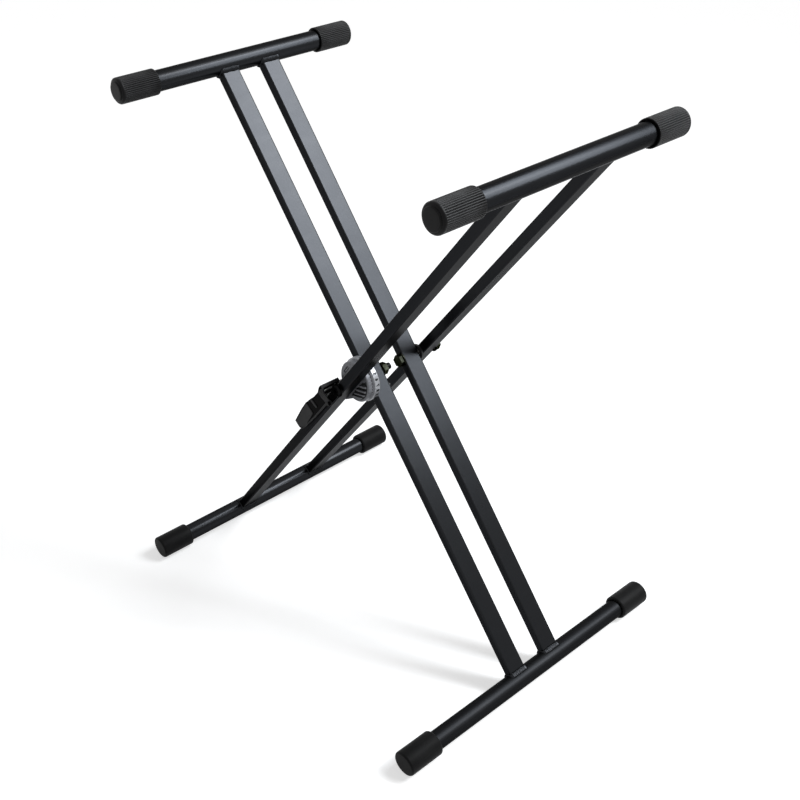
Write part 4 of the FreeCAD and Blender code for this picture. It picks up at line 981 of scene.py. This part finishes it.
# %% Floor
FLOOR_HALF_SIDE = 12
FLOOR_GREY = 0.64
FLOOR_SEEN_LIFT = 0.6
floor_sheet = bmesh.new()
bmesh.ops.create_grid(floor_sheet, x_segments=1, y_segments=1, size=FLOOR_HALF_SIDE)
floor_mesh = bpy.data.meshes.new("floor")
floor_sheet.to_mesh(floor_mesh)
floor_sheet.free()
floor = bpy.data.objects.new("floor", floor_mesh)
floor.location.z = -0.0005
bpy.context.scene.collection.objects.link(floor)
floor_finish = bpy.data.materials.new("pale_floor")
floor_finish.use_nodes = True
floor_shader = floor_finish.node_tree.nodes["Principled BSDF"]
floor_shader.inputs["Base Color"].default_value = (FLOOR_GREY, FLOOR_GREY, FLOOR_GREY, 1)
floor_shader.inputs["Roughness"].default_value = 0.9
floor_shader.inputs["Specular IOR Level"].default_value = 0.1
floor_shader.inputs["Emission Color"].default_value = (1, 1, 1, 1)
floor_lift = add_node(floor_finish.node_tree, "ShaderNodeMapRange", [
    ("Value", seen_ray(floor_finish.node_tree)), ("To Min", 0.0), ("To Max", FLOOR_SEEN_LIFT)])
floor_finish.node_tree.links.new(floor_lift.outputs[0], floor_shader.inputs["Emission Strength"])
floor_mesh.materials.append(floor_finish)

# %% World: pale to the eye and to reflections, dimmer as a lamp
SKY_AS_LAMP = 0.22
SKY_SEEN = 1.0
world = bpy.data.worlds.new("studio")
world.use_nodes = True
sky = world.node_tree
sky.nodes.clear()
strength = add_node(sky, "ShaderNodeMapRange", [
    ("Value", seen_ray(sky)), ("To Min", SKY_AS_LAMP), ("To Max", SKY_SEEN)])
backdrop = add_node(sky, "ShaderNodeBackground", [
    ("Color", (1, 1, 1, 1)), ("Strength", strength.outputs[0])])
world_out = add_node(sky, "ShaderNodeOutputWorld")
sky.links.new(backdrop.outputs[0], world_out.inputs["Surface"])
bpy.context.scene.world = world


# %% Lamps
def strip_panel(name, place, along, aim, width, length, radiance, colour):
    """A softbox strip of even radiance, its long side along a direction and its face to a point."""
    lamp = bpy.data.lights.new(name, "AREA")
    lamp.shape = "RECTANGLE"
    lamp.size = width
    lamp.size_y = length
    lamp.energy = radiance * width * length * math.pi
    lamp.color = colour
    long_side = Vector(along).normalized()
    back = (Vector(place) - Vector(aim)).normalized()
    short_side = long_side.cross(back).normalized()
    back = short_side.cross(long_side)
    panel = bpy.data.objects.new(name, lamp)
    panel.matrix_world = Matrix.Translation(place) @ Matrix(
        (short_side, long_side, back)).transposed().to_4x4()
    bpy.context.scene.collection.objects.link(panel)


def broad_sky(name, towards, strength, spread):
    """Parallel soft light: the same on every part of the floor."""
    lamp = bpy.data.lights.new(name, "SUN")
    lamp.energy = strength
    lamp.angle = math.radians(spread)
    sky_light = bpy.data.objects.new(name, lamp)
    sky_light.matrix_world = Vector(towards).to_track_quat("-Z", "Y").to_matrix().to_4x4()
    bpy.context.scene.collection.objects.link(sky_light)


strip_panel("leaning_strip", place=(0.82, 0.985, 1.7), along=(0.78, 0.1, -0.62), aim=(-0.05, 0, 0.5),
            width=0.4, length=1.4, radiance=16.8, colour=(0.9, 0.95, 1.0))
broad_sky("broad_sky", towards=(-0.43, -0.54, -0.72), strength=1.6, spread=22)
bpy.context.scene.view_settings.view_transform = "Standard"
print("lamps:", [lamp.name for lamp in bpy.data.lights])
